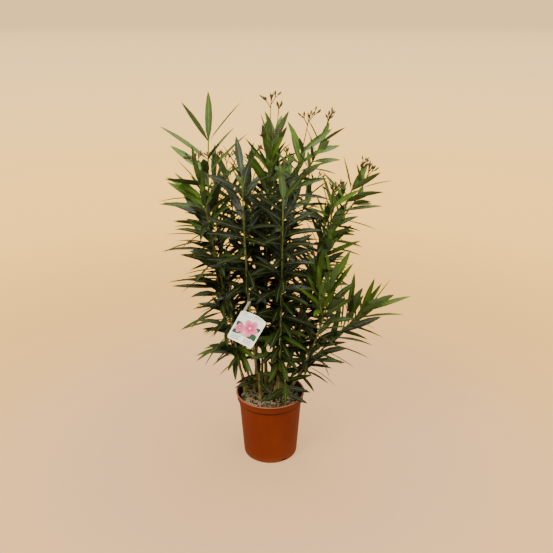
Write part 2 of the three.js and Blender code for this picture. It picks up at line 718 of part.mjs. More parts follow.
// All the leaves of one cane, whorl by whorl
function leavesOf(plant) {
  const { cane, twigs } = plant;
  const others = plants.filter((other) => other !== plant).flatMap((other) => other.samples);
  const grown = [];
  twigs.forEach((twig, shoot) => {
    const spacing = (NODE_SPACING * twig.leaf) / USUAL_LEAF;
    const room = Math.max(0, twig.leafy - BARE_FORK - FIRST_NODE) / spacing;
    const last = Math.floor(room ** (1 / NODE_CROWDING));
    for (let node = 0; node <= last; node += NODE_STRIDE) {
      const random = nodeRandom(cane.seed, shoot, node);
      const depth = FIRST_NODE + spacing * node ** NODE_CROWDING;
      const facing = cane.turn + NODE_TURN * node + WHORL_TWIST * random();
      for (let i = 0; i < WHORL_LEAVES; i++) {
        const draws = { open: random(), length: random(), roll: random(), droop: random() };
        const stray = LEAF_STRAY * (random() - 0.5);
        const turn = radians(facing + (360 * i) / WHORL_LEAVES + stray);
        grown.push(...fittingLeaf(plant, shoot, node, depth, turn, draws, others));
      }
    }
  });
  return grown;
}

// The largest body of a union: its sealed hollows are filled and loose scraps dropped
function mainBody(solids) {
  const whole = solids.reduce((sum, solid) => sum.add(solid));
  return whole.decompose().reduce((a, b) => (a.volume() > b.volume() ? a : b));
}

for (const plant of plants) {
  const { cane, limb, stems, buds } = plant;
  const foot = new THREE.Vector3(...cane.foot, SOIL_TOP + GAP);
  const leaves = leavesOf(plant);
  const body = mainBody([...stems, ...buds, ...leaves]);
  addMesh("cane_" + cane.name, limb, bark, foot);
  addMesh("foliage_" + cane.name, body, leafGreen, foot);
}

export default part;
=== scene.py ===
# %% [markdown]
# A potted oleander
#
# The plant is a clump of some twenty upright canes in one round nursery pot. A CAD model gives
# its size, its canes and the reach of every leafy mass, and Blender takes that model as a
# fixed frame: each piece made here sits where the solids are and stands for some of them.
# Lengths are in metres, +Z is up, and the front, where the label hangs, faces -Y.

# %% Frame and tools
from collections import namedtuple
from math import acos, atan2, hypot, pi, radians

import bpy
import numpy as np
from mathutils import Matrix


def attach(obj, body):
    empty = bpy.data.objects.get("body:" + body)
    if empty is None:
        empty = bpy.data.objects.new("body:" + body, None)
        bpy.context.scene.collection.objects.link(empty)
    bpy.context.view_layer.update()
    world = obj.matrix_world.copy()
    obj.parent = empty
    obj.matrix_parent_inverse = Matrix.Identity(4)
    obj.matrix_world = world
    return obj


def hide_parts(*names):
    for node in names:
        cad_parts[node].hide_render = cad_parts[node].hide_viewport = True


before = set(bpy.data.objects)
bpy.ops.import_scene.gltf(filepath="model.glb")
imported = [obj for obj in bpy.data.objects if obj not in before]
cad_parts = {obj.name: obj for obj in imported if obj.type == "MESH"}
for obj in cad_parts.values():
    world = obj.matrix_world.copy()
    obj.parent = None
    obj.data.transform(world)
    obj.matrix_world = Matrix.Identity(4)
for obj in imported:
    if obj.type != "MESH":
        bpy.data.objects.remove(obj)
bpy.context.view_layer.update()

# %% [markdown]
# A skin over rings
#
# Stems, leaves, buds and the pot are all closed tubes: rings of points, one after another,
# with a pole at each end. A leaf is a flat tube, and the pot is a tube folded back into
# itself. So one function turns rings into faces, for many tubes at once and as whole
# arrays, because a plant has thousands of them. It also gives each face's corners a place
# (u, v) on the surface, which the finishes use for midribs, scars and prints.

# %% Skins
SHARP_EDGE = 50
UP = np.array([0, 0, 1.0])

Skin = namedtuple("Skin", "points quads tris quad_uv tri_uv quad_tone tri_tone")


def rows(numbers):
    """Numbers as a column, so that each multiplies its own row of a list of vectors."""
    return np.asarray(numbers)[..., None]


def unit(vectors):
    """Vectors brought to length 1."""
    return vectors / np.linalg.norm(vectors, axis=-1, keepdims=True)


def swung(angle, first, second):
    """Directions between two others: cos(angle) * first + sin(angle) * second."""
    return rows(np.cos(angle)) * first + rows(np.sin(angle)) * second


def wheeled(angle, first, second):
    """Two coordinates after a turn in their own plane: the usual rotation by an angle."""
    c, s = np.cos(angle), np.sin(angle)
    return first * c - second * s, first * s + second * c


def spoke(angle):
    """Level directions at angles round +Z: (cos a, sin a, 0)."""
    return np.stack([np.cos(angle), np.sin(angle), 0 * angle], axis=-1)


def ring_angles(sides):
    """The angles of a ring's points."""
    return 2 * pi * np.arange(sides) / sides


def ring_places(sides):
    """The place v of a ring's points, from 0 round to 1."""
    return np.arange(sides + 1) / sides


def skin_over(rings, poles, along, around, tone=0):
    """Closed tubes over rings[tube, ring, side] with poles[tube, 0 or 1] at their ends.

    A quad joins side j and j + 1 of ring i to those of ring i + 1, and a triangle joins each
    side of an end ring to its pole. u is along[i] and v is around[j]; around has one more
    value than a ring has sides, because the last quad closes the ring. If the volume
    under the faces, the sum of a . (b x c) / 6, comes out negative, all faces are turned.
    """
    tubes, count, sides = rings.shape[:3]
    points = np.concatenate([rings.reshape(tubes, count * sides, 3), poles], axis=1)
    along, around = np.asarray(along, dtype=float), np.asarray(around, dtype=float)
    i, j = (axis.ravel() for axis in np.mgrid[:count - 1, :sides])
    corners = ((0, 0), (0, 1), (1, 1), (1, 0))
    quad = np.stack([(i + a) * sides + (j + b) % sides for a, b in corners], axis=-1)
    quad_uv = np.stack([np.stack([along[i + a], around[j + b]], -1) for a, b in corners], axis=1)
    j = np.arange(sides)
    k = (j + 1) % sides
    last = (count - 1) * sides
    low = np.stack([j * 0 + count * sides, k, j], axis=-1)
    high = np.stack([j * 0 + count * sides + 1, last + j, last + k], axis=-1)
    start = np.arange(tubes)[:, None, None] * (count * sides + 2)
    quads = (start + quad).reshape(-1, 4)
    tris = (start + np.concatenate([low, high])).reshape(-1, 3)
    left, right = around[:-1], around[1:]
    middle = (left + right) / 2
    tri_uv = [
        np.stack([np.full((sides, 3), u), np.stack([middle, a, b], -1)], axis=-1)
        for u, a, b in ((along[0], right, left), (along[-1], left, right))
    ]
    points = points.reshape(-1, 3)
    quad_uv = np.tile(quad_uv, (tubes, 1, 1))
    tri_uv = np.tile(np.concatenate(tri_uv), (tubes, 1, 1))
    a, b, c, d = (points[quads[:, n]] for n in range(4))
    e, f, g = (points[tris[:, n]] for n in range(3))
    volume = (a * np.cross(b, c)).sum() + (a * np.cross(c, d)).sum() + (e * np.cross(f, g)).sum()
    if volume < 0:
        quads, quad_uv = quads[:, ::-1], quad_uv[:, ::-1]
        tris, tri_uv = tris[:, ::-1], tri_uv[:, ::-1]
    tone = np.broadcast_to(tone, tubes)
    quad_tone = np.repeat(tone, quad.shape[0])
    return Skin(points, quads, tris, quad_uv, tri_uv, quad_tone, np.repeat(tone, 2 * sides))


def joined(skins):
    """Several skins as one: each one's face numbers are raised by the points before it."""
    start = np.cumsum([0] + [len(skin.points) for skin in skins[:-1]])
    return Skin(
        np.concatenate([skin.points for skin in skins]),
        np.concatenate([skin.quads + n for skin, n in zip(skins, start)]),
        np.concatenate([skin.tris + n for skin, n in zip(skins, start)]),
        *(np.concatenate([skin[field] for skin in skins]) for field in range(3, 7)),
    )


def mesh_of(name, skin):
    """A mesh with the points and faces of a skin."""
    mesh = bpy.data.meshes.new(name)
    mesh.from_pydata(skin.points.tolist(), [], skin.quads.tolist() + skin.tris.tolist())
    return mesh


def placed(name, data):
    """A new object of the scene, at the origin."""
    made = bpy.data.objects.new(name, data)
    bpy.context.scene.collection.objects.link(made)
    return made


def dressed(name, skin, finishes, stands_for=()):
    """A piece of the plant from a skin: its mesh, its finishes and the solids it replaces."""
    mesh = mesh_of(name, skin)
    places = np.concatenate([skin.quad_uv.reshape(-1, 2), skin.tri_uv.reshape(-1, 2)])
    mesh.uv_layers.new(name="surface").data.foreach_set("uv", places.astype(np.float32).ravel())
    tones = np.concatenate([skin.quad_tone, skin.tri_tone]).astype(np.int32)
    mesh.polygons.foreach_set("material_index", tones)
    for finish in finishes:
        mesh.materials.append(finish)
    mesh.shade_smooth()
    mesh.set_sharp_from_angle(angle=radians(SHARP_EDGE))
    mesh.update()
    piece = placed(name, mesh)
    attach(piece, "root")
    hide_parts(*stands_for)
    print(name, "has", 2 * len(skin.quads) + len(skin.tris), "triangles")
    return piece


# %% [markdown]
# Shader arithmetic
#
# A finish varies over its surface: a leaf is paler along its midrib, a cane is browner near
# its foot. Blender works such things out in nodes. Written as Python expressions they are
# far easier to read, so a small class wraps a socket and turns + - * / into Math nodes. A
# second one holds a node tree and makes every other kind of node, and a third a material.

# %% Shader classes
class Wire:
    """A number that varies over a surface. Arithmetic with it adds Math nodes."""

    def __init__(self, nodes, socket):
        self.nodes = nodes
        self.socket = socket

    def math(self, operation, *values):
        return self.nodes.math(operation, self, *values)

    def __add__(self, other):
        return self.math("ADD", other)

    def __sub__(self, other):
        return self.math("SUBTRACT", other)

    def __rsub__(self, other):
        return self.nodes.math("SUBTRACT", other, self)

    def __mul__(self, other):
        return self.math("MULTIPLY", other)

    def __truediv__(self, other):
        return self.math("DIVIDE", other)

    def __abs__(self):
        return self.math("ABSOLUTE")

    __radd__ = __add__
    __rmul__ = __mul__

    def over(self, limit):
        """1 where the number is over a limit, else 0."""
        return self.math("GREATER_THAN", limit)

    def rise(self, start, end):
        """Climbs smoothly from 0 at start to 1 at end."""
        settings = {"interpolation_type": "SMOOTHSTEP"}
        values = {"Value": self, "From Min": start, "From Max": end}
        return self.nodes.node("ShaderNodeMapRange", settings, values)


class Nodes:
    """A node tree under construction."""

    def __init__(self, tree):
        self.tree = tree

    def join(self, value, socket):
        if isinstance(value, Wire):
            self.tree.links.new(value.socket, socket)
        else:
            socket.default_value = value

    def node(self, kind, settings, values, output=0):
        """One node: its settings are made first, then the values or links of its sockets."""
        made = self.tree.nodes.new(kind)
        for name, value in settings.items():
            setattr(made, name, value)
        for name, value in values.items():
            self.join(value, made.inputs[name])
        return Wire(self, made.outputs[output])

    def math(self, operation, *values):
        return self.node("ShaderNodeMath", {"operation": operation}, dict(enumerate(values)))

    def mix(self, share, first, second):
        """The first colour where share is 0 and the second where it is 1."""
        settings = {"data_type": "RGBA"}
        return self.node("ShaderNodeMix", settings, {0: share, 6: first, 7: second}, 2)

    def layers(self, colour, *coats):
        """A colour with others laid over it in turn, each where its own mask is 1."""
        for mask, coat in coats:
            colour = self.mix(mask, colour, coat)
        return colour

    def axes(self, vector):
        """The three numbers of a vector."""
        split = self.node("ShaderNodeSeparateXYZ", {}, {0: vector}).socket.node
        return [Wire(self, socket) for socket in split.outputs]


class Finish(Nodes):
    """A Principled material under construction."""

    def __init__(self, name, **constants):
        self.material = bpy.data.materials.new(name)
        self.material.use_nodes = True
        super().__init__(self.material.node_tree)
        self.shader = self.tree.nodes["Principled BSDF"]
        for socket, value in constants.items():
            self.set(socket.replace("_", " "), value)

    def set(self, socket, value):
        self.join(value, self.shader.inputs[socket])

    def place(self, stretch=(1, 1, 1)):
        """Object coordinates, with a pattern's grain drawn out where stretch is under 1."""
        spot = self.node("ShaderNodeTexCoord", {}, {}, "Object")
        return self.node("ShaderNodeMapping", {}, {"Vector": spot, "Scale": stretch})

    def surface(self):
        """The (u, v) place on the piece's own skin."""
        return self.axes(self.node("ShaderNodeUVMap", {"uv_map": "surface"}, {}))[:2]

    def noise(self, scale, detail=3, stretch=(1, 1, 1)):
        """Soft irregular patches about 1 / scale metres across, from 0 to 1."""
        values = {"Vector": self.place(stretch), "Scale": scale, "Detail": detail}
        return self.node("ShaderNodeTexNoise", {}, values)

    def done(self, colour, roughness, relief=None, depth=0, strength=1):
        """The material with its colour, its roughness and a relief of a given depth in metres."""
        self.set("Base Color", colour)
        self.set("Roughness", roughness)
        if relief:
            values = {"Height": relief, "Distance": depth, "Strength": strength}
            self.set("Normal", self.node("ShaderNodeBump", {}, values))
        return self.material


def tint(red, green, blue):
    """A colour in linear light."""
    return (red, green, blue, 1.0)


def shade(colour, share):
    """A colour made darker or lighter by share."""
    return tint(*(value * share for value in colour[:3]))


# %% [markdown]
# How an oleander grows
#
# Each cane is an arc that starts upright or leaning and turns a little as it climbs. Its
# top bears leaves in whorls of three at nodes that lie further apart near the tip, where
# the shoot is drawn out, and one or two side shoots fork off below the tip. The solids were
# grown by the same rule with a whorl at every second node, from the same repeatable draws
# of random numbers, so here every node can be filled and the crown still keeps its outline.
# No leaf is placed by itself: the rule grows them all, at the back as at the front.

# %% Growth values
GAP = 0.0003
SOIL_TOP = 0.203
CANE_FOOT_RADIUS = 0.0048
CANE_TOP_RADIUS = 0.0038
FLARE_RADIUS = 0.002
FLARE_HEIGHT = 0.016
TWIG_TIP_RADIUS = 0.0019
SHOOT_FOOT_RADIUS = 0.0028

FIRST_NODE = 0.003
NODE_SPACING = 0.040
NODE_CROWDING = 0.85
USUAL_LEAF = 0.135
BARE_FORK = 0.014
WHORL_LEAVES = 3
NODE_TURN = 30
WHORL_TWIST = 14
LEAF_STRAY = 18

LEAF_WIDEST = 0.42
LEAF_ROLL = 0.6
TURN_TO_LIGHT = 1.1
LIGHT_RISE = 30
LEAF_SAG = 0.1
LEAF_DROOP = 0.4
TIP_OPENING = 21
LEAST_OPENING = 19
OPENING_GROWTH = 42
LOW_OPENING = 12
OPENING_RANGE = 16
AGEING_DEPTH = 0.110
YOUNG_DEPTH = 0.060
YOUNG_SHORTENING = 0.1
LOW_SHORTENING = 0.22
LENGTH_RANGE = 0.2
INTERLEAVE = 0.080
LEAF_TRIES = 3
LEAF_LIFT = 0.74
SPACE_SAMPLES = 16

FORK_DEPTH = 0.17
FORK_STEP = 0.12
FORK_DEPTH_RANGE = 0.05
FORK_TURN = 137
FORK_SPREAD = 27
FORK_SPREAD_RANGE = 10
FORK_RUN = 0.2
FORK_RUN_RANGE = 0.08
FORK_LEAF = 0.86
FORK_LEAFY = 0.75
FORK_UPTURN = 0.45

# Each row gives a cane's foot on the compost and its tip, the turn of its arc in degrees,
# its bare length, its leaf length, the way its top whorl faces, its seed, and how much wider
# than by rule its leaves open. Some have side shoots, or tips with buds on long stalks. Most
# of these values weren't chosen by hand: a search fitted them to the photograph's outline.
FIELDS = "name foot tip bow bare leaf turn seed spread forks buds stalk"
Cane = namedtuple("Cane", FIELDS, defaults=(0, 0, 0.084))

CANES = (
    Cane("left_tall", (-0.075, 0.044), (-0.174, -0.027, 1.064), bow=-24, bare=0.140,
         leaf=0.174, turn=93, seed=37, spread=15),
    Cane("far_left", (-0.084, 0.020), (-0.195, -0.101, 0.954), bow=2, bare=0.115,
         leaf=0.124, buds=1, turn=90, seed=73, spread=4),
    Cane("left_inner", (-0.046, 0.068), (-0.165, 0.016, 0.927), bow=-21, bare=0.150,
         leaf=0.126, buds=1, turn=70, seed=42, spread=-6),
    Cane("mid_left", (-0.055, 0.040), (-0.066, 0.057, 0.936), bow=22, bare=0.150,
         leaf=0.118, turn=10, seed=81, spread=-4),
    Cane("centre_tall", (-0.030, 0.048), (-0.001, 0.055, 1.031), bow=1, bare=0.150,
         leaf=0.121, forks=1, buds=2, stalk=0.145, turn=70, seed=11, spread=-6),
    Cane("centre_front", (-0.016, 0.028), (0.002, -0.118, 1.027), bow=26, bare=0.150,
         leaf=0.122, buds=1, turn=0, seed=56, spread=-6),
    Cane("mid_right", (0.002, 0.048), (0.093, -0.060, 1.040), bow=12, bare=0.260,
         leaf=0.118, forks=1, buds=2, stalk=0.110, turn=10, seed=16, spread=16),
    Cane("right_inner", (0.020, 0.062), (0.062, 0.138, 0.908), bow=-24, bare=0.130,
         leaf=0.118, forks=2, buds=3, turn=40, seed=91, spread=16),
    Cane("right_shoulder", (0.010, 0.010), (0.242, -0.025, 0.919), bow=7, bare=0.150,
         leaf=0.124, forks=2, buds=3, turn=5, seed=63, spread=20),
    Cane("right_low", (0.048, 0.014), (0.184, -0.120, 0.662), bow=-24, bare=0.110,
         leaf=0.126, forks=2, turn=10, seed=78, spread=-6),
    Cane("far_right_low", (0.060, 0.032), (0.301, -0.048, 0.542), bow=17, bare=0.100,
         leaf=0.153, forks=2, turn=60, seed=71, spread=-6),
    Cane("front_left", (-0.034, 0.020), (-0.074, -0.140, 0.990), bow=-20, bare=0.420,
         leaf=0.136, turn=110, seed=61, spread=14),
    Cane("front_right", (0.028, -0.004), (0.039, -0.170, 0.929), bow=-8, bare=0.140,
         leaf=0.118, turn=10, seed=56, spread=14),
    Cane("right_mid", (0.030, 0.020), (0.180, -0.072, 0.815), bow=1, bare=0.135,
         leaf=0.128, turn=90, seed=19, spread=-4),
    Cane("right_back", (0.042, 0.056), (0.190, 0.116, 0.815), bow=3, bare=0.110,
         leaf=0.125, buds=1, turn=60, seed=10, spread=6),
    Cane("back_left", (-0.030, 0.084), (-0.136, 0.213, 0.891), bow=-6, bare=0.110,
         leaf=0.118, buds=1, turn=80, seed=2, spread=9),
    Cane("back_right", (0.008, 0.080), (0.048, 0.218, 0.856), bow=12, bare=0.130,
         leaf=0.127, buds=1, turn=60, seed=16, spread=-1),
    Cane("back_low", (-0.012, 0.092), (-0.046, 0.267, 0.692), bow=16, bare=0.100,
         leaf=0.150, turn=100, seed=88, spread=-2),
    Cane("left_back", (-0.064, 0.064), (-0.205, 0.071, 0.854), bow=-2, bare=0.110,
         leaf=0.141, turn=90, seed=78, spread=16),
    Cane("rim_shoot", (0.050, -0.060), (0.048, -0.087, 0.315), bow=2, bare=0.042,
         leaf=0.095, turn=85, seed=97, spread=55),
    Cane("left_shoot", (-0.034, -0.014), (-0.037, -0.031, 0.310), bow=2, bare=0.052,
         leaf=0.096, turn=5, seed=10, spread=54),
)

# %% Random draws
def draws(seed, count):
    """The first count numbers of a seed's stream, from 0 to 1, in the last axis.

    The state grows by one fixed step for each number. A number is its state after two
    rounds of shift right, exclusive or and multiply, all kept to 32 bits.
    """
    whole = 2**32
    steps = 0x6D2B79F5 * np.arange(1, count + 1)
    state = ((np.asarray(seed)[..., None] + steps) % whole).astype(np.uint64)
    first = (state ^ (state >> 15)) * (state | 1) % whole
    second = (first + (first ^ (first >> 7)) * (first | 61) % whole) % whole ^ first
    return (second ^ (second >> 14)) / whole


def node_draws(seed, shoot, node, count):
    return draws(1 + seed * 7919 + shoot * 1009 + np.asarray(node) * 31, count)


print("first draws:", node_draws(CANES[0].seed, 0, 0, 3))


# %% Arcs and twigs
class LeaningArc:
    """An arc in an upright plane whose lean from +Z changes evenly along its run.

    The chord of an arc points along its middle lean, and is shorter than the arc by
    sin(h) / h, where h is half the turn.
    """

    def __init__(self, origin, bearing, lean_foot, lean_tip, run):
        self.origin = np.asarray(origin, dtype=float)
        self.heading = spoke(bearing)
        self.lean_foot = lean_foot
        self.lean_tip = lean_tip
        self.run = run

    def leaning(self, angle):
        return swung(angle, UP, self.heading)

    def frame(self, distance):
        """Centre, tangent and the two directions across, at distances along the arc."""
        share = np.asarray(distance, dtype=float) / self.run
        half_turn = (self.lean_tip - self.lean_foot) * share / 2
        chord = self.run * share * np.sinc(half_turn / pi)
        centre = self.origin + rows(chord) * self.leaning(self.lean_foot + half_turn)
        along = self.leaning(self.lean_foot + 2 * half_turn)
        across = np.broadcast_to(np.cross(UP, self.heading), along.shape)
        return centre, along, across, np.cross(across, along)


Twig = namedtuple("Twig", "arc start leafy leaf spread foot_radius")


def cane_arc(cane):
    """The arc from a cane's foot to its tip, by its chord and its bow."""
    foot = np.array([*cane.foot, SOIL_TOP + GAP])
    x, y, z = np.array(cane.tip) - foot
    lean = atan2(hypot(x, y), z)
    half = radians(cane.bow) / 2
    run = np.linalg.norm([x, y, z]) / np.sinc(half / pi)
    return LeaningArc(foot, atan2(y, x), lean - half, lean + half, run)


def fork_of(cane, main, i):
    """One side shoot, which leaves the cane at a slant and turns up as it grows."""
    depth, turn, spread, length = node_draws(cane.seed, 50 + i, 0, 4)
    share = FORK_DEPTH + FORK_STEP * i + FORK_DEPTH_RANGE * depth
    centre, along, across, out = main.arc.frame(main.arc.run - main.leafy * share)
    turn = radians(FORK_TURN * i + 360 * turn)
    spread = radians(FORK_SPREAD + FORK_SPREAD_RANGE * spread)
    way = swung(spread, along, swung(turn, across, out))
    lean = acos(way[2])
    run = main.leafy * (FORK_RUN + FORK_RUN_RANGE * length)
    arc = LeaningArc(centre, atan2(way[1], way[0]), lean, FORK_UPTURN * lean, run)
    return Twig(arc, 0, run * FORK_LEAFY, cane.leaf * FORK_LEAF, cane.spread, SHOOT_FOOT_RADIUS)


def twigs_of(cane):
    """A cane's leafy top and its side shoots."""
    arc = cane_arc(cane)
    start = cane.bare + GAP
    main = Twig(arc, start, arc.run - start, cane.leaf, cane.spread, CANE_TOP_RADIUS)
    return [main] + [fork_of(cane, main, i) for i in range(cane.forks)]


def node_depths(twig):
    """Distances of a twig's nodes below its tip: they crowd together low down."""
    spacing = NODE_SPACING * twig.leaf / USUAL_LEAF
    room = max(0, twig.leafy - BARE_FORK - FIRST_NODE) / spacing
    return FIRST_NODE + spacing * np.arange(int(room ** (1 / NODE_CROWDING)) + 1) ** NODE_CROWDING


def samples_of(twigs):
    """Points along all of a cane's twigs, which mark out its own space."""
    spots = [
        twig.arc.frame(np.linspace(twig.start, twig.arc.run, SPACE_SAMPLES))[0] for twig in twigs
    ]
    return np.concatenate(spots)


clump = [twigs_of(cane) for cane in CANES]
own_space = [samples_of(twigs) for twigs in clump]
print("twigs:", sum(len(twigs) for twigs in clump), "nodes:",
      sum(len(node_depths(twig)) for twigs in clump for twig in twigs))

# %% [markdown]
# Where each leaf goes
#
# A leaf leaves its node at an angle that opens with its depth below the tip: the youngest
# stand close round the bud, the oldest nearly level. Its far half sags, and it turns its
# upper face part of the way to the light outside the clump, which is why the leaves of a
# cane show as a herringbone from every side. The function works out all the leaves of a
# twig at once. Three answers are worked out for each leaf, each nearer to its twig than the
# one before, and the first that has room is kept, which is how the solids were grown too.
# Room here means its own part of the crown, and clear of the pot, the compost and the label.

# %% Leaf places
POT_HEIGHT = 0.229
LIP_RADIUS = 0.114
LEAF_SICKLE = 0.16
SPOTS_ON_LEAF = np.linspace(0.15, 1, 7)
POT_ROOM = 0.002
RIM_DEPTH = 0.011
SOIL_ROOM = 0.004

Leaves = namedtuple("Leaves", "root middle tip side end length age depth order")


def lit_from(centre):
    """The way that light comes from: outwards from the pot's axis and up at a slant."""
    return swung(radians(LIGHT_RISE), unit(centre * (1 - UP)), UP)


def opened_leaves(cane, shoot, twig, lift):
    """The leaves of one twig, whorl by whorl.

    opening = tip angle + growth * (1 - exp(-depth / ageing depth)) + a little more low down
    length = the cane's leaf length, less near the tip and low down, * (0.9 to 1.1)
    rise = cos(opening) * twig + sin(opening) * the way that the leaf faces
    """
    depth = node_depths(twig)
    node = np.arange(len(depth))
    numbers = node_draws(cane.seed, shoot, node, 1 + 6 * WHORL_LEAVES)
    twist = numbers[:, :1]
    drawn = numbers[:, 1:1 + 5 * WHORL_LEAVES].reshape(-1, WHORL_LEAVES, 5)
    sickle = numbers[:, 1 + 5 * WHORL_LEAVES:] - 0.5
    open_draw, length_draw, roll_draw, droop_draw, stray = np.moveaxis(drawn, 2, 0)
    centre, along, across, out = (
        part[:, None] for part in twig.arc.frame(twig.arc.run - depth)
    )
    depth = depth[:, None]
    old = 1 - np.exp(-depth / AGEING_DEPTH)
    low = depth / twig.leafy
    young = np.maximum(0, 1 - depth / YOUNG_DEPTH)
    place = 360 / WHORL_LEAVES * np.arange(WHORL_LEAVES)
    facing = cane.turn + NODE_TURN * node[:, None] + WHORL_TWIST * twist + place
    turn = np.radians(facing + LEAF_STRAY * (stray - 0.5))
    opening = TIP_OPENING + OPENING_GROWTH * old + LOW_OPENING * low**2 + twig.spread
    opening = lift * (opening + OPENING_RANGE * (open_draw - 0.5))
    opening = np.radians(np.maximum(LEAST_OPENING, opening))
    length = twig.leaf * (1 - YOUNG_SHORTENING * young - LOW_SHORTENING * low)
    length = length * (1 + LENGTH_RANGE * (length_draw - 0.5))
    away = swung(turn, across, out)
    rise = swung(opening, along, away)
    side = unit(np.cross(away, along) + TURN_TO_LIGHT * np.cross(rise, lit_from(centre)))
    side = swung(LEAF_ROLL * (roll_draw - 0.5), side, np.cross(rise, side))
    end = unit(rise - rows(LEAF_SAG + LEAF_DROOP * old * droop_draw) * UP)
    middle = centre + rows(LEAF_WIDEST * length) * rise
    bend = rows(LEAF_SICKLE * sickle * length) * side
    tip = middle + rows((1 - LEAF_WIDEST) * length) * end + bend
    whole = np.ones_like(length)
    columns = (centre + 0 * rise, middle, tip, side, end)
    numbers = (length, whole * old, whole * depth, whole * node[:, None])
    return Leaves(*(c.reshape(-1, 3) for c in columns), *(n.ravel() for n in numbers))


def spots_of(leaves):
    """Points along each leaf: from its root to its middle, then on to its tip."""
    share = SPOTS_ON_LEAF[:, None, None]
    near = leaves.root + (leaves.middle - leaves.root) * share / LEAF_WIDEST
    far = (share - LEAF_WIDEST) / (1 - LEAF_WIDEST)
    far = leaves.middle + (leaves.tip - leaves.middle) * far
    return np.where(share < LEAF_WIDEST, near, far)


def nearest(points, samples):
    """Distance from each point to the nearest of some samples."""
    return np.linalg.norm(points[:, None] - samples[None], axis=-1).min(axis=1)


# %% Label place
CARD_WIDTH = 0.086
CARD_LENGTH = 0.099
CARD_ARCH = 0.008
CARD_THICKNESS = 0.001
CARD_CORNER = 0.004
STRAP_WIDTH = 0.009
STRAP_RISE = 0.036
STRAP_LAP = 0.014
STRAP_INSET = 0.003
STRAP_SINK = 0.0009
RING_HEIGHT = 0.007
RING_WALL = 0.0014
LABEL_CANE = "front_left"
LABEL_AT = 0.406
LABEL_ROLL = radians(28)
LABEL_VIEW = 0.110
LABEL_MARGIN = 0.008
LABEL_BACKING = 0.003


def cane_radius(cane, distance):
    """A cane narrows evenly from its foot to its first leaf and flares at the compost."""
    even = CANE_FOOT_RADIUS + (CANE_TOP_RADIUS - CANE_FOOT_RADIUS) * distance / cane.bare
    return even + FLARE_RADIUS * np.exp(-distance / FLARE_HEIGHT)


tagged = next(cane for cane in CANES if cane.name == LABEL_CANE)
ring_centre, ring_axis = cane_arc(tagged).frame(LABEL_AT)[:2]
ring_bore = cane_radius(tagged, LABEL_AT) + 2 * GAP
CARD_FRONT = STRAP_SINK - ring_bore - RING_WALL
CARD_LEFT = -STRAP_WIDTH / 2 - STRAP_INSET
CARD_TOP = -STRAP_RISE


def hung(points):
    """Points of the label, turned by its roll about the ring's centre and put there."""
    x, y, z = np.moveaxis(np.asarray(points, dtype=float), -1, 0)
    x, z = wheeled(-LABEL_ROLL, x, z)
    return ring_centre + np.stack([x, y, z], axis=-1)


def on_label(points):
    """Whether points lie on the card or in the clear space in front of it."""
    x, y, z = np.moveaxis(points - ring_centre, -1, 0)
    x, z = wheeled(LABEL_ROLL, x, z)
    wide = (x > CARD_LEFT - LABEL_MARGIN) & (x < CARD_LEFT + CARD_WIDTH + LABEL_MARGIN)
    top = CARD_TOP + CARD_ARCH + LABEL_MARGIN
    tall = (z < top) & (z > CARD_TOP - CARD_LENGTH - LABEL_MARGIN)
    return wide & tall & (y < CARD_FRONT + LABEL_BACKING) & (y > CARD_FRONT - LABEL_VIEW)


def in_pot(points):
    """Whether points lie in the pot's wall or compost, with a little room."""
    radius = np.hypot(points[..., 0], points[..., 1])
    height = points[..., 2]
    below_rim = (height < POT_HEIGHT + POT_ROOM) & (radius > LIP_RADIUS - RIM_DEPTH)
    in_soil = (height < SOIL_TOP + SOIL_ROOM) & (radius < LIP_RADIUS)
    return below_rim & (radius < LIP_RADIUS + POT_ROOM) | in_soil


print("label ring at", ring_centre)


# %% Leaves with room
def with_room(leaves, own, others):
    """Whether each leaf is in its own space and clear of the label and the pot."""
    free = np.ones(len(leaves.length), dtype=bool)
    for points in (leaves.middle, leaves.tip):
        free &= nearest(points, own) < nearest(points, others) + INTERLEAVE
    spots = spots_of(leaves)
    return free & ~on_label(spots).any(axis=0) & ~in_pot(spots).any(axis=0)


def pick(leaves, chosen):
    return Leaves(*(column[chosen] for column in leaves))


def leaves_of(index):
    """All leaves of one cane that find room in one of the tries."""
    others = np.concatenate(own_space[:index] + own_space[index + 1:])
    grown = []
    for shoot, twig in enumerate(clump[index]):
        waiting = True
        for attempt in range(LEAF_TRIES):
            leaves = opened_leaves(CANES[index], shoot, twig, LEAF_LIFT**attempt)
            free = with_room(leaves, own_space[index], others)
            grown.append(pick(leaves, free & waiting))
            waiting = waiting & ~free
    return Leaves(*(np.concatenate(columns) for columns in zip(*grown)))


foliage = [leaves_of(index) for index in range(len(CANES))]
print("leaves:", sum(len(leaves.length) for leaves in foliage))

# %% [markdown]
# The blades
#
# An oleander leaf is a stiff lance: a short stalk, a blade that is widest below its middle
# and folds up a little from its midrib, and a long point. Seen from a step away its
# outline and its fold matter most, so each blade is a closed skin of six rings with six
# points each, thin at the edges and thick along the midrib. A leaf that is repeated over a
# thousand times can't afford more. Young leaves at the tips are fresh green, those below
# them darken with age, and every leaf is paler underneath. Tones are dealt out whorl by
# whorl, so that a whole spray catches the eye as one.

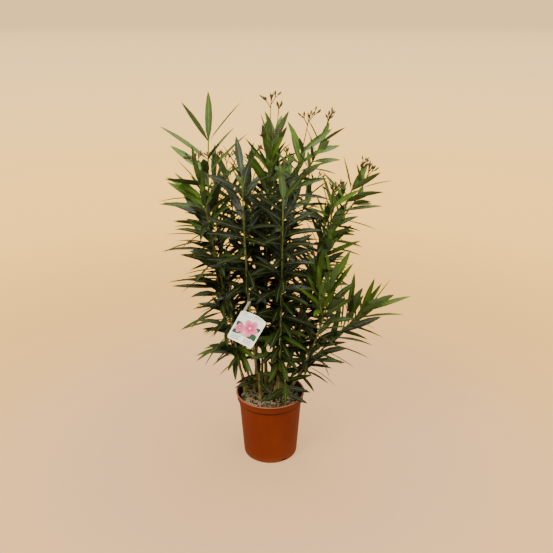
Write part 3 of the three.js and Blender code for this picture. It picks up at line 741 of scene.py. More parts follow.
# %% Blade shape
BLADE_WIDTH = 0.157
ROOT_SINK = 0.001
KNEE_SHARE = 0.56
YOUNG_WIDENING = 0.012
BLADE_THICKNESS = 0.009
BLADE_FOLD = 0.18
BLADE_STATIONS = np.array([0.0, 0.06, 0.20, 0.42, 0.65, 0.86])
BLADE_OUTLINE = np.array([0.10, 0.26, 0.78, 1.00, 0.86, 0.44])
RIM_ACROSS = np.array([-1.0, -0.5, 0.0, 0.5, 1.0, 0.0])
RIM_ABOVE = np.array([0.0, 0.55, 0.25, 0.55, 0.0, -1.0])
RIM_PLACES = np.array([0.0, 0.25, 0.5, 0.75, 1.0, 1.5, 2.0])
TONES = 5
TONE_STRAY = 0.3
LEAF_TONE_STRAY = 0.36
DARKENING_DEPTH = 0.18
# Painted shade: the leaves of these canes start darker.
PAINTED_SHADE_CANES = ("front_left", "front_right", "rim_shoot", "left_shoot")
PAINTED_SHADE_DARKENING = 0.6
# Painted light: leaves further from the pot's axis darken later.
PAINTED_LIGHT_FROM = 0.10
PAINTED_LIGHT_RUN = 0.15
PAINTED_LIGHT_DELAY = 0.6
# Painted light: leaves far below the tip are made paler.
LOW_PAINTED_LIGHT_FROM = 0.32
LOW_PAINTED_LIGHT_RUN = 0.25
LOW_PAINTED_LIGHT = 0.5


def bent_spine(leaves):
    """Points and directions along each leaf's midrib at the blade's stations.

    The midrib is a quadratic curve from root to tip, whose first half points at the middle:
    P(t) = (1 - t)^2 root + 2 t (1 - t) knee + t^2 tip, and its direction is P'(t).
    """
    t = BLADE_STATIONS[None, :, None]
    root, tip = leaves.root[:, None], leaves.tip[:, None]
    knee = root + (leaves.middle[:, None] - root) * KNEE_SHARE / LEAF_WIDEST
    spine = (1 - t) ** 2 * root + 2 * t * (1 - t) * knee + t**2 * tip
    way = 2 * (1 - t) * (knee - root) + 2 * t * (tip - knee)
    return spine, unit(way)


def blades(leaves, tone):
    """The skins of many leaves.

    A ring's point is spine + w * (across * side + fold * |across| * over) + thickness *
    above * over, where w is half the blade's width at that station. Widths go with the root
    of the length, so that long leaves are slim.
    """
    spine, way = bent_spine(leaves)
    side = np.broadcast_to(leaves.side[:, None], way.shape)
    over = unit(np.cross(side, way))
    share = BLADE_WIDTH + YOUNG_WIDENING * (1 - leaves.age)
    half = rows(np.sqrt(leaves.length * USUAL_LEAF) * share / 2) * BLADE_OUTLINE
    thick = rows(leaves.length * BLADE_THICKNESS / 2) * np.sqrt(BLADE_OUTLINE)
    sideways = half[..., None] * RIM_ACROSS
    upward = BLADE_FOLD * half[..., None] * np.abs(RIM_ACROSS) + thick[..., None] * RIM_ABOVE
    rings = spine[:, :, None] + rows(sideways) * side[:, :, None] + rows(upward) * over[:, :, None]
    poles = np.stack([leaves.root - ROOT_SINK * way[:, 0], leaves.tip], axis=1)
    return skin_over(rings, poles, BLADE_STATIONS, RIM_PLACES, tone)


def tones_of(index):
    """The tone number of each leaf: its age, strayed by a draw for its whorl and one of its own.

    age = 1 - exp(-depth / darkening depth). Some front canes and low shoots start darker, as
    painted shade. Leaves at the outside of the clump darken later, as painted light, and the
    oldest ones, far below the tip, are paler again, also as painted light.
    """
    leaves = foliage[index]
    cane = CANES[index]
    whorl = draws(cane.seed * 131 + leaves.order.astype(int) * 17, 1)[:, 0]
    single = draws(cane.seed * 71 + np.arange(len(whorl)), 1)[:, 0]
    # Painted shade for the canes listed above.
    in_painted_shade = cane.name in PAINTED_SHADE_CANES
    # Painted light: leaves further out darken later.
    lit = np.clip((np.hypot(leaves.root[:, 0], leaves.root[:, 1]) - PAINTED_LIGHT_FROM) / PAINTED_LIGHT_RUN, 0, 1)
    # Painted light: leaves far below the tip turn paler.
    low_painted_light = LOW_PAINTED_LIGHT * np.clip((leaves.depth - LOW_PAINTED_LIGHT_FROM) / LOW_PAINTED_LIGHT_RUN, 0, 1)
    age = 1 - np.exp(-leaves.depth / DARKENING_DEPTH / (1 + PAINTED_LIGHT_DELAY * lit))
    age = np.minimum(age + PAINTED_SHADE_DARKENING * in_painted_shade, 1) - low_painted_light
    stray = TONE_STRAY * (whorl - 0.5) + LEAF_TONE_STRAY * (single - 0.5)
    return np.clip(TONES * (age + stray), 0, TONES - 1).astype(int)


# %% Leaf finish
LEAF_TONES = (
    ("leaf_fresh", tint(0.082, 0.148, 0.010), tint(0.138, 0.200, 0.062)),
    ("leaf_young", tint(0.058, 0.104, 0.007), tint(0.104, 0.150, 0.050)),
    ("leaf_full", tint(0.040, 0.068, 0.007), tint(0.086, 0.112, 0.048)),
    ("leaf_mature", tint(0.022, 0.036, 0.005), tint(0.066, 0.084, 0.040)),
    ("leaf_old", tint(0.013, 0.020, 0.002), tint(0.050, 0.064, 0.032)),
)
VEINS = 260
VEIN_SLANT = 22


def leaf_finish(name, upper, under):
    """A leathery blade: midrib and edge pale, fine side veins, and a dull pale underside."""
    finish = Finish(name, Specular_IOR_Level=0.32)
    along, across = finish.surface()
    below = across.over(1.0)
    aside = abs(abs(across - 1) - 0.5) * 2
    rib = 1 - aside.rise(0.03, 0.12)
    veins = (along * VEINS + aside * VEIN_SLANT).math("SINE") * 0.5 + 0.5
    patches = finish.noise(14, 2)
    mottle = finish.noise(160, 2)
    # The leaf colour is laid in darker and lighter patches: painted shade and painted light.
    blade = finish.layers(
        shade(upper, 0.78),
        (patches.rise(0.3, 0.7), shade(upper, 1.25)),
        (veins * mottle * 0.14, under),
        (rib * 0.45, tint(0.30, 0.36, 0.12)),
        (below, under),
    )
    return finish.done(blade, 0.33 + 0.12 * patches + 0.24 * below, veins * 0.3 - rib, 0.0005, 0.5)


leaf_finishes = [leaf_finish(*tone) for tone in LEAF_TONES]

# %% Leaf pieces
LEAF_PIECES = 2
for part in range(LEAF_PIECES):
    members = range(part, len(CANES), LEAF_PIECES)
    dressed(
        f"leaves_{part + 1}",
        joined([blades(foliage[index], tones_of(index)) for index in members]),
        leaf_finishes,
        [f"foliage_{CANES[index].name}" for index in members],
    )

# %% [markdown]
# Canes and twigs
#
# A cane is smooth young wood. It is olive-brown and a little furrowed at its foot, passes
# to yellow-green where the leaves begin, and has a small swelling with three scars at every
# node. The solids stop each cane where its leafy mass begins; here one tube runs from the
# compost to the tip, so that no joint shows. The tube is swept along the arc, and its
# radius carries the swellings, because relief on a stem seen against the light has to be in
# its outline and not only in its shading.

# %% Stem shape
STEM_SIDES = 8
STEM_STEP = 0.0055
NODE_SWELLING = 0.16
NODE_HEIGHT = 0.0028
FURROW = 0.05
FURROWS = 3
FURROW_TWIST = 40
FORK_FURROW = 0.4
STEM_POINT = 0.003
LEAST_RINGS = 4


def nearness_to_node(twig, distance):
    """1 at a node, falling off over a few millimetres: the greatest exp(-(gap / height)^2).

    Below the leafy part the nodes go on at an even spacing, as scars of leaves long fallen.
    """
    depths = node_depths(twig)
    step = depths[-1] - depths[-2] if len(depths) > 1 else NODE_SPACING
    fallen = np.arange(depths[-1] + step, twig.arc.run, max(step, NODE_SPACING))
    gap = twig.arc.run - np.concatenate([depths, fallen]) - distance[:, None]
    return np.exp(-((np.abs(gap).min(axis=1) / NODE_HEIGHT) ** 2))


def thickness(cane, twig, distance):
    """A twig's radius narrows evenly to its tip. A cane below its leaves has its own taper."""
    upper = (distance - twig.start) / (twig.arc.run - twig.start)
    leafy = twig.foot_radius + (TWIG_TIP_RADIUS - twig.foot_radius) * upper
    return np.where(distance < twig.start, cane_radius(cane, distance), leafy)


def stem(cane, twig, furrowed):
    """A tube along a twig: centre + radius * (cos(a) across + sin(a) out).

    radius = the twig's taper * (1 + swelling at the nodes) * (1 + furrows that run along it)
    """
    distance = np.linspace(0, twig.arc.run, max(LEAST_RINGS, int(twig.arc.run / STEM_STEP)))
    centre, along, across, out = twig.arc.frame(distance)
    angle = ring_angles(STEM_SIDES)
    scar = nearness_to_node(twig, distance)
    furrow = FURROW * np.sin(FURROWS * angle + FURROW_TWIST * distance[:, None]) * furrowed
    radius = thickness(cane, twig, distance) * (1 + NODE_SWELLING * scar)
    size = rows(rows(radius) * (1 + furrow))
    rings = centre[:, None] + size * swung(angle, across[:, None], out[:, None])
    poles = np.stack([centre[0], centre[-1] + STEM_POINT * along[-1]])
    return skin_over(rings[None], poles[None], scar, ring_places(STEM_SIDES))


# %% Stem finish
WOOD_TOP = 0.36
GREEN_FROM = 0.75


def stem_finish():
    """Olive-brown bark low down, yellow-green rind above, darker scars and pale flecks."""
    finish = Finish("stem_rind", Specular_IOR_Level=0.4)
    scar = finish.surface()[0]
    height = finish.axes(finish.place())[2]
    patches = finish.noise(45, 3)
    streaks = finish.noise(420, 3, (1, 1, 0.12))
    green = (height + 0.10 * patches).rise(WOOD_TOP, GREEN_FROM)
    wood = finish.mix(patches.rise(0.35, 0.65), tint(0.205, 0.180, 0.045), tint(0.410, 0.370, 0.125))
    rind = finish.mix(patches.rise(0.3, 0.7), tint(0.125, 0.155, 0.020), tint(0.240, 0.270, 0.055))
    colour = finish.layers(
        wood,
        (green, rind),
        (streaks.rise(0.52, 0.75) * 0.3, tint(0.36, 0.35, 0.15)),
        (scar.rise(0.55, 0.95) * 0.6, tint(0.07, 0.05, 0.022)),
    )
    return finish.done(colour, 0.62 - 0.14 * green, streaks, 0.0006, 0.6)


stem_skins = [
    stem(cane, twig, FORK_FURROW if shoot else 1)
    for cane, twigs in zip(CANES, clump)
    for shoot, twig in enumerate(twigs)
]
stands_for = [f"cane_{cane.name}" for cane in CANES]
dressed("stems", joined(stem_skins), [stem_finish()], stands_for)

# %% [markdown]
# Flower buds
#
# The plant isn't in flower yet: thin stalks rise above some tips and branch into loose
# clusters of pointed buds. Each cluster is a main stalk with two arms, as in the solids,
# and each arm then splits into short stalks with a bud at the end of each. They are drawn
# as tapering tubes, since at this size a spindle is all that a bud is.

# %% Bud clusters
FORK_STALK = 0.75
BUD_ARM = 0.024
BUD_ARM_SPREAD = 38
BUD_ARM_STEP = 0.005
STALK_SINK = 0.002
BUD_LENGTH = 0.0140
BUD_RADIUS = 0.0026
STALK_RADIUS = 0.0016
STALK_TAPER = 0.3
PEDICEL_THINNESS = 0.6
PEDICEL = 0.012
PEDICEL_SPREAD = 27
PEDICELS = 4
PEDICEL_STRAY = 0.3
PEDICEL_LEAST = 0.5
PEDICEL_RANGE = 0.8
THREAD_SIDES = 5
THREAD_END = 0.0005
NEARLY_UPRIGHT = 0.9
STALK_PLACES = np.array([0, 0.5, 1.0])
BUD_PLACES = np.array([0.0, 0.35, 0.65, 0.88])
BUD_SWELL = np.array([0.5, 1.0, 0.8, 0.35])


def spindles(starts, ends, places, radii, point, tone):
    """Many straight closed bars: start + t * (end - start), with a radius at each place t.

    The foot is closed a little before its start, and the far end a point's length past it.
    """
    way = unit(ends - starts)
    helper = np.where(np.abs(way[:, 2:]) > NEARLY_UPRIGHT, [[1.0, 0, 0]], [[0, 0, 1.0]])
    across = unit(np.cross(way, helper))
    over = np.cross(way, across)
    ring = swung(ring_angles(THREAD_SIDES), across[:, None, None], over[:, None, None])
    centre = starts[:, None] + rows(places) * (ends - starts)[:, None]
    rings = centre[:, :, None] + rows(rows(radii)) * ring
    poles = np.stack([starts - THREAD_END * way, ends + point * way], axis=1)
    return skin_over(rings, poles, places, ring_places(THREAD_SIDES), tone)


def cluster(twig, stalk, turn, seed):
    """One twig's flower stalk, its two arms, which face a turn, and the buds at their ends."""
    centre, along, across, out = twig.arc.frame(twig.arc.run - STALK_SINK)
    arm_side = swung(turn, across, out)
    top = centre + stalk * along
    starts, ends = [centre], [top - PEDICEL * along]
    for hand in (-1, 1):
        spread = radians(hand * BUD_ARM_SPREAD)
        way = swung(spread, along, arm_side)
        fork = centre + (stalk - BUD_ARM + BUD_ARM_STEP * hand) * along
        starts.append(fork)
        ends.append(fork + BUD_ARM * way)
    numbers = draws(seed * 977 + np.arange(3), 3 * PEDICELS).reshape(3, PEDICELS, 3)
    starts, ends = np.array(starts), np.array(ends)
    angle = ring_angles(PEDICELS) + 2 * pi * PEDICEL_STRAY * numbers[..., 0]
    share = PEDICEL_LEAST + PEDICEL_RANGE * numbers
    spread = np.radians(PEDICEL_SPREAD * share[..., 1])
    ways = unit(swung(spread, unit(ends - starts)[:, None], swung(angle, across, out)))
    head = ends[:, None] + rows(PEDICEL * share[..., 2]) * ways
    foot = np.broadcast_to(ends[:, None], ways.shape)
    foot, head, ways = (part.reshape(-1, 3) for part in (foot, head, ways))
    stalk_radii = STALK_RADIUS * (1 - STALK_TAPER * STALK_PLACES)
    thin_radii = STALK_RADIUS * (PEDICEL_THINNESS + 0 * STALK_PLACES)
    return [
        spindles(starts, ends, STALK_PLACES, stalk_radii, THREAD_END, 0),
        spindles(foot, head, STALK_PLACES, thin_radii, THREAD_END, 0),
        spindles(head, head + BUD_LENGTH * ways, BUD_PLACES, BUD_RADIUS * BUD_SWELL, 0, 1),
    ]


# %% Bud finishes
def bud_finish(name, dark, light):
    """Rind of a stalk or a bud, speckled between two colours."""
    finish = Finish(name, Specular_IOR_Level=0.35)
    patches = finish.noise(260, 3)
    colour = finish.mix(patches.rise(0.3, 0.7), dark, light)
    return finish.done(colour, 0.5 + 0.2 * patches, patches, 0.0002, 0.5)


cluster_skins = []
for index, (cane, twigs) in enumerate(zip(CANES, clump)):
    for shoot, twig in enumerate(twigs[:cane.buds]):
        stalk = cane.stalk * (FORK_STALK if shoot else 1.0)
        cluster_skins += cluster(twig, stalk, radians(cane.turn), 10 * index + shoot)

bud_finishes = [
    bud_finish("stalk_rind", tint(0.062, 0.062, 0.018), tint(0.120, 0.118, 0.040)),
    bud_finish("bud_rind", tint(0.062, 0.044, 0.018), tint(0.130, 0.100, 0.040)),
]
dressed("flower_buds", joined(cluster_skins), bud_finishes)

# %% [markdown]
# The pot
#
# The pot is thin moulded plastic: a tapering wall, a shoulder that widens to an upright
# band, and a rolled lip. It is a surface of revolution, so its profile is turned round the
# Z axis in many steps, and the drain slots and holes are cut with Blender's Boolean
# modifier, as a mould's cores would leave them.

# %% Pot shape
LIP_HEIGHT = 0.004
BAND_RADIUS = 0.110
BAND_STEP = 0.004
BAND_HEIGHT = 0.025
SHOULDER_RADIUS = 0.102
SHOULDER_DROP = 0.030
FOOT_RADIUS = 0.090
FOOT_INSET = 0.004
FOOT_HEIGHT = 0.006
POT_WALL = 0.0022
POT_FLOOR = 0.003
POT_SIDES = 120
BAND_FOOT = POT_HEIGHT - BAND_HEIGHT
SHOULDER = BAND_FOOT - SHOULDER_DROP
DRAIN_SLOTS = 3
DRAIN_WIDTH = 0.022
DRAIN_HEIGHT = 0.009
DRAIN_DEPTH = 0.004
DRAIN_INSET = 0.0015
DRAIN_TURN = radians(62)
DRAIN_HOLES = 4
DRAIN_HOLE_RADIUS = 0.006
DRAIN_HOLE_SIDES = 24
DRAIN_HOLE_REACH = 0.01
DRAIN_RING_RADIUS = 0.045


def curved(start, knee, end, steps):
    """A profile's rounded corner: the quadratic curve (1-t)^2 start + 2t(1-t) knee + t^2 end."""
    t = rows(np.linspace(0, 1, steps))
    start, knee, end = (np.array(point) for point in (start, knee, end))
    return ((1 - t) ** 2 * start + 2 * t * (1 - t) * knee + t**2 * end).tolist()


def pot_outline():
    """The outer line from the foot up and over the lip, as [radius, height]."""
    lip_foot = POT_HEIGHT - LIP_HEIGHT
    foot = (FOOT_RADIUS - FOOT_INSET, 0)
    return [
        *curved(foot, (FOOT_RADIUS - 0.0004, 0), (FOOT_RADIUS, FOOT_HEIGHT), 6),
        (SHOULDER_RADIUS - 0.0005, SHOULDER - 0.004),
        *curved((SHOULDER_RADIUS, SHOULDER), (SHOULDER_RADIUS + 0.001, SHOULDER + 0.012),
                (BAND_RADIUS - BAND_STEP, BAND_FOOT - 0.0015), 7),
        *curved((BAND_RADIUS - BAND_STEP, BAND_FOOT - 0.001), (BAND_RADIUS, BAND_FOOT - 0.001),
                (BAND_RADIUS, BAND_FOOT + 0.0015), 5),
        (BAND_RADIUS + 0.001, lip_foot - 0.0004),
        (BAND_RADIUS + 0.0012, lip_foot),
        *curved((LIP_RADIUS - 0.0010, lip_foot + 0.0002), (LIP_RADIUS, lip_foot + 0.0004),
                (LIP_RADIUS, lip_foot + 0.0018), 4),
        *curved((LIP_RADIUS, lip_foot + 0.0024), (LIP_RADIUS, POT_HEIGHT),
                (LIP_RADIUS - 0.0018, POT_HEIGHT), 5),
    ]


def pot_lining():
    """The inner line from the rim down to the floor."""
    return [
        *curved((BAND_RADIUS + 0.0022 - POT_WALL, POT_HEIGHT),
                (BAND_RADIUS + 0.0008 - POT_WALL, POT_HEIGHT),
                (BAND_RADIUS + 0.0006 - POT_WALL, POT_HEIGHT - 0.002), 4),
        (BAND_RADIUS - POT_WALL, POT_HEIGHT - LIP_HEIGHT),
        (BAND_RADIUS - BAND_STEP - POT_WALL, BAND_FOOT - 0.002),
        (SHOULDER_RADIUS - POT_WALL, SHOULDER - 0.002),
        (FOOT_RADIUS - POT_WALL, FOOT_HEIGHT),
        (FOOT_RADIUS - FOOT_INSET, POT_FLOOR),
    ]


def flat_rings(radius, sides):
    """x and y of rings round +Z: (r cos a, r sin a)."""
    angle = ring_angles(sides)
    return radius[:, None] * np.cos(angle), radius[:, None] * np.sin(angle)


def turned(radius, height, sides, top=None):
    """A surface of revolution: (r cos a, r sin a, z), closed at both ends on the axis.

    z is one number for each ring, or one for each point. The last pole is at top.
    """
    x, y = flat_rings(radius, sides)
    z = np.broadcast_to(height.reshape(len(radius), -1), x.shape)
    poles = np.array([[[0, 0, z[0].mean()], [0, 0, z[-1].mean() if top is None else top]]])
    rings = np.stack([x, y, z], axis=-1)[None]
    return skin_over(rings, poles, np.linspace(0, 1, len(radius)), ring_places(sides))


def cutter(name, points):
    """A closed block to cut with, from eight or more points on two flat ends."""
    half = len(points) // 2
    rings = np.array(points, dtype=float).reshape(1, 2, half, 3)
    skin = skin_over(rings, rings.mean(axis=2), [0, 1], ring_places(half))
    return placed(name, mesh_of(name, skin))


def drain_cutters():
    """A box through the foot for each slot and a drum through the floor for each hole."""
    made = []
    for i in range(DRAIN_SLOTS):
        turn = DRAIN_TURN + 2 * pi * i / DRAIN_SLOTS
        aside = DRAIN_WIDTH / 2 * spoke(turn + pi / 2)
        near = (FOOT_RADIUS - DRAIN_INSET - DRAIN_DEPTH / 2) * spoke(turn)
        far = near + DRAIN_DEPTH * spoke(turn)
        square = [near - aside, far - aside, far + aside, near + aside]
        made.append([p + z * UP for z in (-DRAIN_HEIGHT, DRAIN_HEIGHT) for p in square])
    for i in range(DRAIN_HOLES):
        middle = DRAIN_RING_RADIUS * spoke(2 * pi * (i + 0.5) / DRAIN_HOLES)
        edge = middle + DRAIN_HOLE_RADIUS * spoke(ring_angles(DRAIN_HOLE_SIDES))
        made.append([p + z * UP for z in (-DRAIN_HOLE_REACH, DRAIN_HOLE_REACH) for p in edge])
    return [cutter(f"cutter_{n}", points) for n, points in enumerate(made)]


def cut_away(piece, blocks):
    """Cuts blocks out of a piece with Boolean modifiers and keeps the result as its mesh."""
    for block in blocks:
        modifier = piece.modifiers.new(block.name, "BOOLEAN")
        modifier.operation = "DIFFERENCE"
        modifier.solver = "EXACT"
        modifier.object = block
    evaluated = piece.evaluated_get(bpy.context.evaluated_depsgraph_get())
    mesh = bpy.data.meshes.new_from_object(evaluated)
    piece.modifiers.clear()
    piece.data = mesh
    for block in blocks:
        bpy.data.objects.remove(block)


# %% Pot finish
def pot_finish():
    """Satin terracotta plastic: faint upright flow marks, dust in patches, a dull foot.

    Painted shade darkens the crease under the band, the lining above the compost and the drain
    slots, and a painted highlight lightens the lip.
    """
    finish = Finish("pot_plastic", Specular_IOR_Level=0.36)
    x, y, height = finish.axes(finish.place())
    radius = (x * x + y * y).math("SQRT")
    flow = finish.noise(60, 2, (1, 1, 0.1))
    patches = finish.noise(9, 3)
    dust = finish.noise(240, 4)
    # Painted shade in the crease under the band.
    painted_crease_shade = height.rise(BAND_FOOT - 0.0045, BAND_FOOT - 0.001) * (1 - height.over(BAND_FOOT + 0.0002))
    # Painted shade on the lining above the compost.
    painted_lining_shade = height.over(SOIL_TOP - 0.006) * (1 - radius.rise(BAND_RADIUS - 0.0030, BAND_RADIUS))
    # A painted highlight along the top of the lip.
    painted_lip_highlight = height.rise(POT_HEIGHT - 0.0022, POT_HEIGHT - 0.0004)
    # Painted shade in the drain slots.
    painted_slot_shade = (1 - radius.over(FOOT_RADIUS - 0.0027)) * (1 - height.over(DRAIN_HEIGHT + 0.0002))
    worn = (1 - height.rise(0.0, 0.03)) * 0.35 + patches.rise(0.5, 0.8) * 0.12
    body = finish.layers(
        tint(0.250, 0.026, 0.001),
        (patches.rise(0.3, 0.7), tint(0.290, 0.034, 0.001)),
        (flow.rise(0.4, 0.8) * 0.25, tint(0.325, 0.045, 0.003)),
        (worn * dust, tint(0.36, 0.20, 0.10)),
        (painted_crease_shade * 0.4, tint(0.120, 0.013, 0.001)),
        (painted_lip_highlight * 0.65, tint(0.60, 0.24, 0.12)),
        (painted_lining_shade * 0.85, tint(0.050, 0.014, 0.004)),
        (painted_slot_shade * 0.95, tint(0.012, 0.006, 0.003)),
    )
    roughness = 0.42 + 0.14 * patches + 0.1 * worn
    return finish.done(body, roughness, dust * 0.5 + flow, 0.00025, 0.35)


pot_radius, pot_height = np.array([*pot_outline(), *pot_lining()]).T
pot_skin = turned(pot_radius, pot_height, POT_SIDES)
pot = dressed("nursery_pot", pot_skin, [pot_finish()], ["pot"])
cut_away(pot, drain_cutters())
print("pot after cutting:", len(pot.data.polygons), "faces")

# %% [markdown]
# Compost
#
# The compost is bark and peat, dried pale on top, with chips, threads of root and a little
# moss. A flat disc would look dead from any side, so the top is a height field of low mounds,
# and over a thousand loose flakes lie on it. A flake is a box of a dozen faces, and five
# plain tones are enough, because the eye reads the mixture.

# %% Compost surface
SOIL_EDGE_DIP = 0.004
SOIL_EDGE_WIDTH = 0.02
SOIL_SETTLING = 0.0015
SOIL_RINGS = 46
SOIL_SIDES = 120
MOUND = 0.0004
MOUND_WAVES = 40
MOUND_FREQUENCY = 90
soil_random = np.random.default_rng(11)
mound_ways = soil_random.normal(size=(MOUND_WAVES, 2)) * MOUND_FREQUENCY
mound_phases = soil_random.uniform(0, 2 * pi, MOUND_WAVES)


def lining_radius(height):
    """Radius of the pot's lining at a height."""
    line = pot_lining()[::-1]
    return np.interp(height, [point[1] for point in line], [point[0] for point in line])


def mounds(x, y):
    """Low relief: mound * the sum of forty plane waves in random directions, each a sine."""
    waves = np.sin(rows(x) * mound_ways[:, 0] + rows(y) * mound_ways[:, 1] + mound_phases)
    return MOUND * waves.sum(axis=-1)


def soil_height(x, y):
    """The compost's top: level, with mounds, and sunk towards the edge."""
    radius = np.hypot(x, y)
    near_edge = 1 - (lining_radius(SOIL_TOP) - radius) / SOIL_EDGE_WIDTH
    sink = SOIL_EDGE_DIP * np.clip(near_edge, 0, 1) ** 2
    return SOIL_TOP - SOIL_SETTLING + mounds(x, y) - sink


def soil_skin():
    """Rings up the lining, then inwards over the top, each point lifted to the mounds."""
    edge = SOIL_TOP - SOIL_EDGE_DIP
    wall = [
        (FOOT_RADIUS - FOOT_INSET - 0.002, POT_FLOOR + GAP),
        (lining_radius(FOOT_HEIGHT) - 2 * GAP, FOOT_HEIGHT),
        (lining_radius(SHOULDER) - 2 * GAP, SHOULDER),
        (lining_radius(edge) - 2 * GAP, edge - 0.004),
    ]
    outer = lining_radius(edge) - 2 * GAP
    radius = np.array([r for r, _ in wall] + list(outer * np.linspace(1, 0.01, SOIL_RINGS)))
    height = soil_height(*flat_rings(radius, SOIL_SIDES))
    height[:len(wall)] = np.array([h for _, h in wall])[:, None]
    return turned(radius, height, SOIL_SIDES)


def soil_finish():
    """Crumbs: dark damp hollows and pale dry tops, with rough relief, and darker towards the foot."""
    finish = Finish("compost", Specular_IOR_Level=0.15)
    crumbs = finish.noise(330, 4)
    patches = finish.noise(28, 3)
    moss = finish.noise(17, 4)
    height = finish.axes(finish.place())[2]
    colour = finish.layers(
        tint(0.018, 0.011, 0.004),
        (crumbs.rise(0.35, 0.68), tint(0.190, 0.135, 0.066)),
        (patches.rise(0.45, 0.75) * 0.5, tint(0.300, 0.250, 0.160)),
        (moss.rise(0.56, 0.7) * 0.4, tint(0.090, 0.105, 0.040)),
        (1 - height.rise(0.02, 0.08), tint(0.012, 0.007, 0.003)),
    )
    return finish.done(colour, 0.85 + 0.1 * crumbs, crumbs, 0.0022)


dressed("compost", soil_skin(), [soil_finish()], ["soil"])

# %% Flakes on the compost
FLAKES = 1150
THREADS = 90
FLAKE_SIZE = np.array([0.0056, 0.0033, 0.0014])
THREAD_SIZE = np.array([0.0085, 0.0006, 0.0005])
FLAKE_TONES = (
    ("flake_tan", tint(0.530, 0.370, 0.190)),
    ("flake_grey", tint(0.430, 0.360, 0.230)),
    ("flake_brown", tint(0.160, 0.095, 0.040)),
    ("flake_dark", tint(0.022, 0.014, 0.006)),
    ("flake_moss", tint(0.150, 0.180, 0.050)),
)
FLAKE_SHARES = (0.28, 0.18, 0.20, 0.18, 0.16)
FLAKE_STRAY = 0.35
FLAKE_STRETCH = (0.4, 1.6)
FLAKE_LIFT = (0.2, 1.6)
FLAKE_TILT = 0.7
THREAD_TILT = 0.3
FLAKE_MARGIN = 0.001


def flakes(count, size, flatness, seed):
    """Loose flakes: boxes stretched by size * (0.4 to 1.6), with every corner strayed a little.

    Each is turned by random angles, tilted from level by flatness at most, and lies on the
    compost at a point spread evenly over it: radius = (edge - its own reach) * sqrt(random).
    """
    random = np.random.default_rng(seed)
    square = np.array([(-1, -1), (1, -1), (1, 1), (-1, 1)], dtype=float)
    box = np.array([[(x, y, z) for x, y in square] for z in (-1, 1)])
    shape = box * (1 + FLAKE_STRAY * random.uniform(-1, 1, (count, 2, 4, 3)))
    shape = shape * (size * random.uniform(*FLAKE_STRETCH, (count, 3)))[:, None, None]
    turn = random.uniform(0, 2 * pi, count)
    tilt = random.uniform(-flatness, flatness, count)
    x, y, z = np.moveaxis(shape, -1, 0)
    x, z = wheeled(tilt[:, None, None], x, z)
    x, y = wheeled(turn[:, None, None], x, y)
    reach = np.hypot(x, y).max(axis=(1, 2))
    edge = lining_radius(SOIL_TOP) - FLAKE_MARGIN
    radius = (edge - reach) * np.sqrt(random.uniform(0, 1, count))
    centre = rows(radius) * spoke(random.uniform(0, 2 * pi, count))
    lift = soil_height(*centre.T[:2]) + size[2] * random.uniform(*FLAKE_LIFT, count)
    rings = (centre + rows(lift) * UP)[:, None, None] + np.stack([x, y, z], axis=-1)
    tone = random.choice(len(FLAKE_TONES), count, p=FLAKE_SHARES)
    return skin_over(rings, rings.mean(axis=2), [0, 1], ring_places(4), tone)


def flake_finish(name, colour):
    """A dry flake: one colour, a little speckled."""
    finish = Finish(name, Specular_IOR_Level=0.2)
    speckle = finish.noise(500, 3)
    mixed = finish.mix(speckle.rise(0.3, 0.7), shade(colour, 0.6), colour)
    return finish.done(mixed, 0.8 + 0.15 * speckle)


litter = joined([
    flakes(FLAKES, FLAKE_SIZE, FLAKE_TILT, 21),
    flakes(THREADS, THREAD_SIZE, THREAD_TILT, 22),
])
dressed("compost_flakes", litter, [flake_finish(*tone) for tone in FLAKE_TONES])

# %% [markdown]
# The label
#
# A printed plastic card hangs by a strap from a ring round one front cane. The card is a
# thin closed sheet with an arched top, bowed a little across its width as thin plastic is.
# Its print is a plain generic design worked out in the shader from the card's own (u, v)
# place: two pink five-petalled blossoms, lance leaves and flat bands, with no lettering.

# %% Card, strap and ring
CARD_COLUMNS = 25
CARD_ROWS = 15
CARD_BOW = 0.0010
RING_SIDES = 40


def card_skin():
    """The front and back of the card as one closed tube of rows.

    A point is (u - half) * width across, and up by v * (length + arch * (1 - (2u - 1)^2)).
    The lower corners are rounded, and the card bows forwards by bow * (2u - 1)^2.
    """
    u = np.linspace(0, 1, CARD_COLUMNS)
    v = np.linspace(0, 1, CARD_ROWS)
    inset = CARD_CORNER - np.sqrt(
        np.clip(CARD_CORNER**2 - np.clip(CARD_CORNER - v * CARD_LENGTH, 0, None) ** 2, 0, None)
    )
    wide = CARD_WIDTH - 2 * inset
    x = CARD_LEFT + CARD_WIDTH / 2 + (u - 0.5) * wide[:, None]
    bulge = 1 - (2 * u - 1) ** 2
    z = CARD_TOP - CARD_LENGTH + v[:, None] * (CARD_LENGTH + CARD_ARCH * bulge)
    front = CARD_FRONT - CARD_BOW * (1 - bulge) + 0 * z
    face = np.stack([x, front - CARD_THICKNESS, z], axis=-1)
    back = np.stack([x, front - 0.2 * CARD_THICKNESS, z], axis=-1)[:, ::-1]
    rings = hung(np.concatenate([face, back], axis=1))[None]
    poles = rings[:, [0, -1]].mean(axis=2)
    return skin_over(rings, poles, v, np.concatenate([u, 2.001 - u[::-1], [0]]))


def strap_skin():
    """The strap: a flat box that widens where it joins the card, under the ring."""
    z = np.array([CARD_TOP - STRAP_LAP, CARD_TOP + 0.002, CARD_TOP + 0.006, RING_HEIGHT / 2])
    half = np.array([1.0, 1.0, 0.8, 0.7]) * STRAP_WIDTH / 2
    y = CARD_FRONT - CARD_THICKNESS * np.array([0.1, 0.9])
    corners = [(-1, 0), (1, 0), (1, 1), (-1, 1)]
    rings = np.array([[(side * h, y[k], level) for side, k in corners] for h, level in zip(half, z)])
    rings = hung(rings)[None]
    return skin_over(rings, rings[:, [0, -1]].mean(axis=2), z, np.full(5, 3.0), 1)


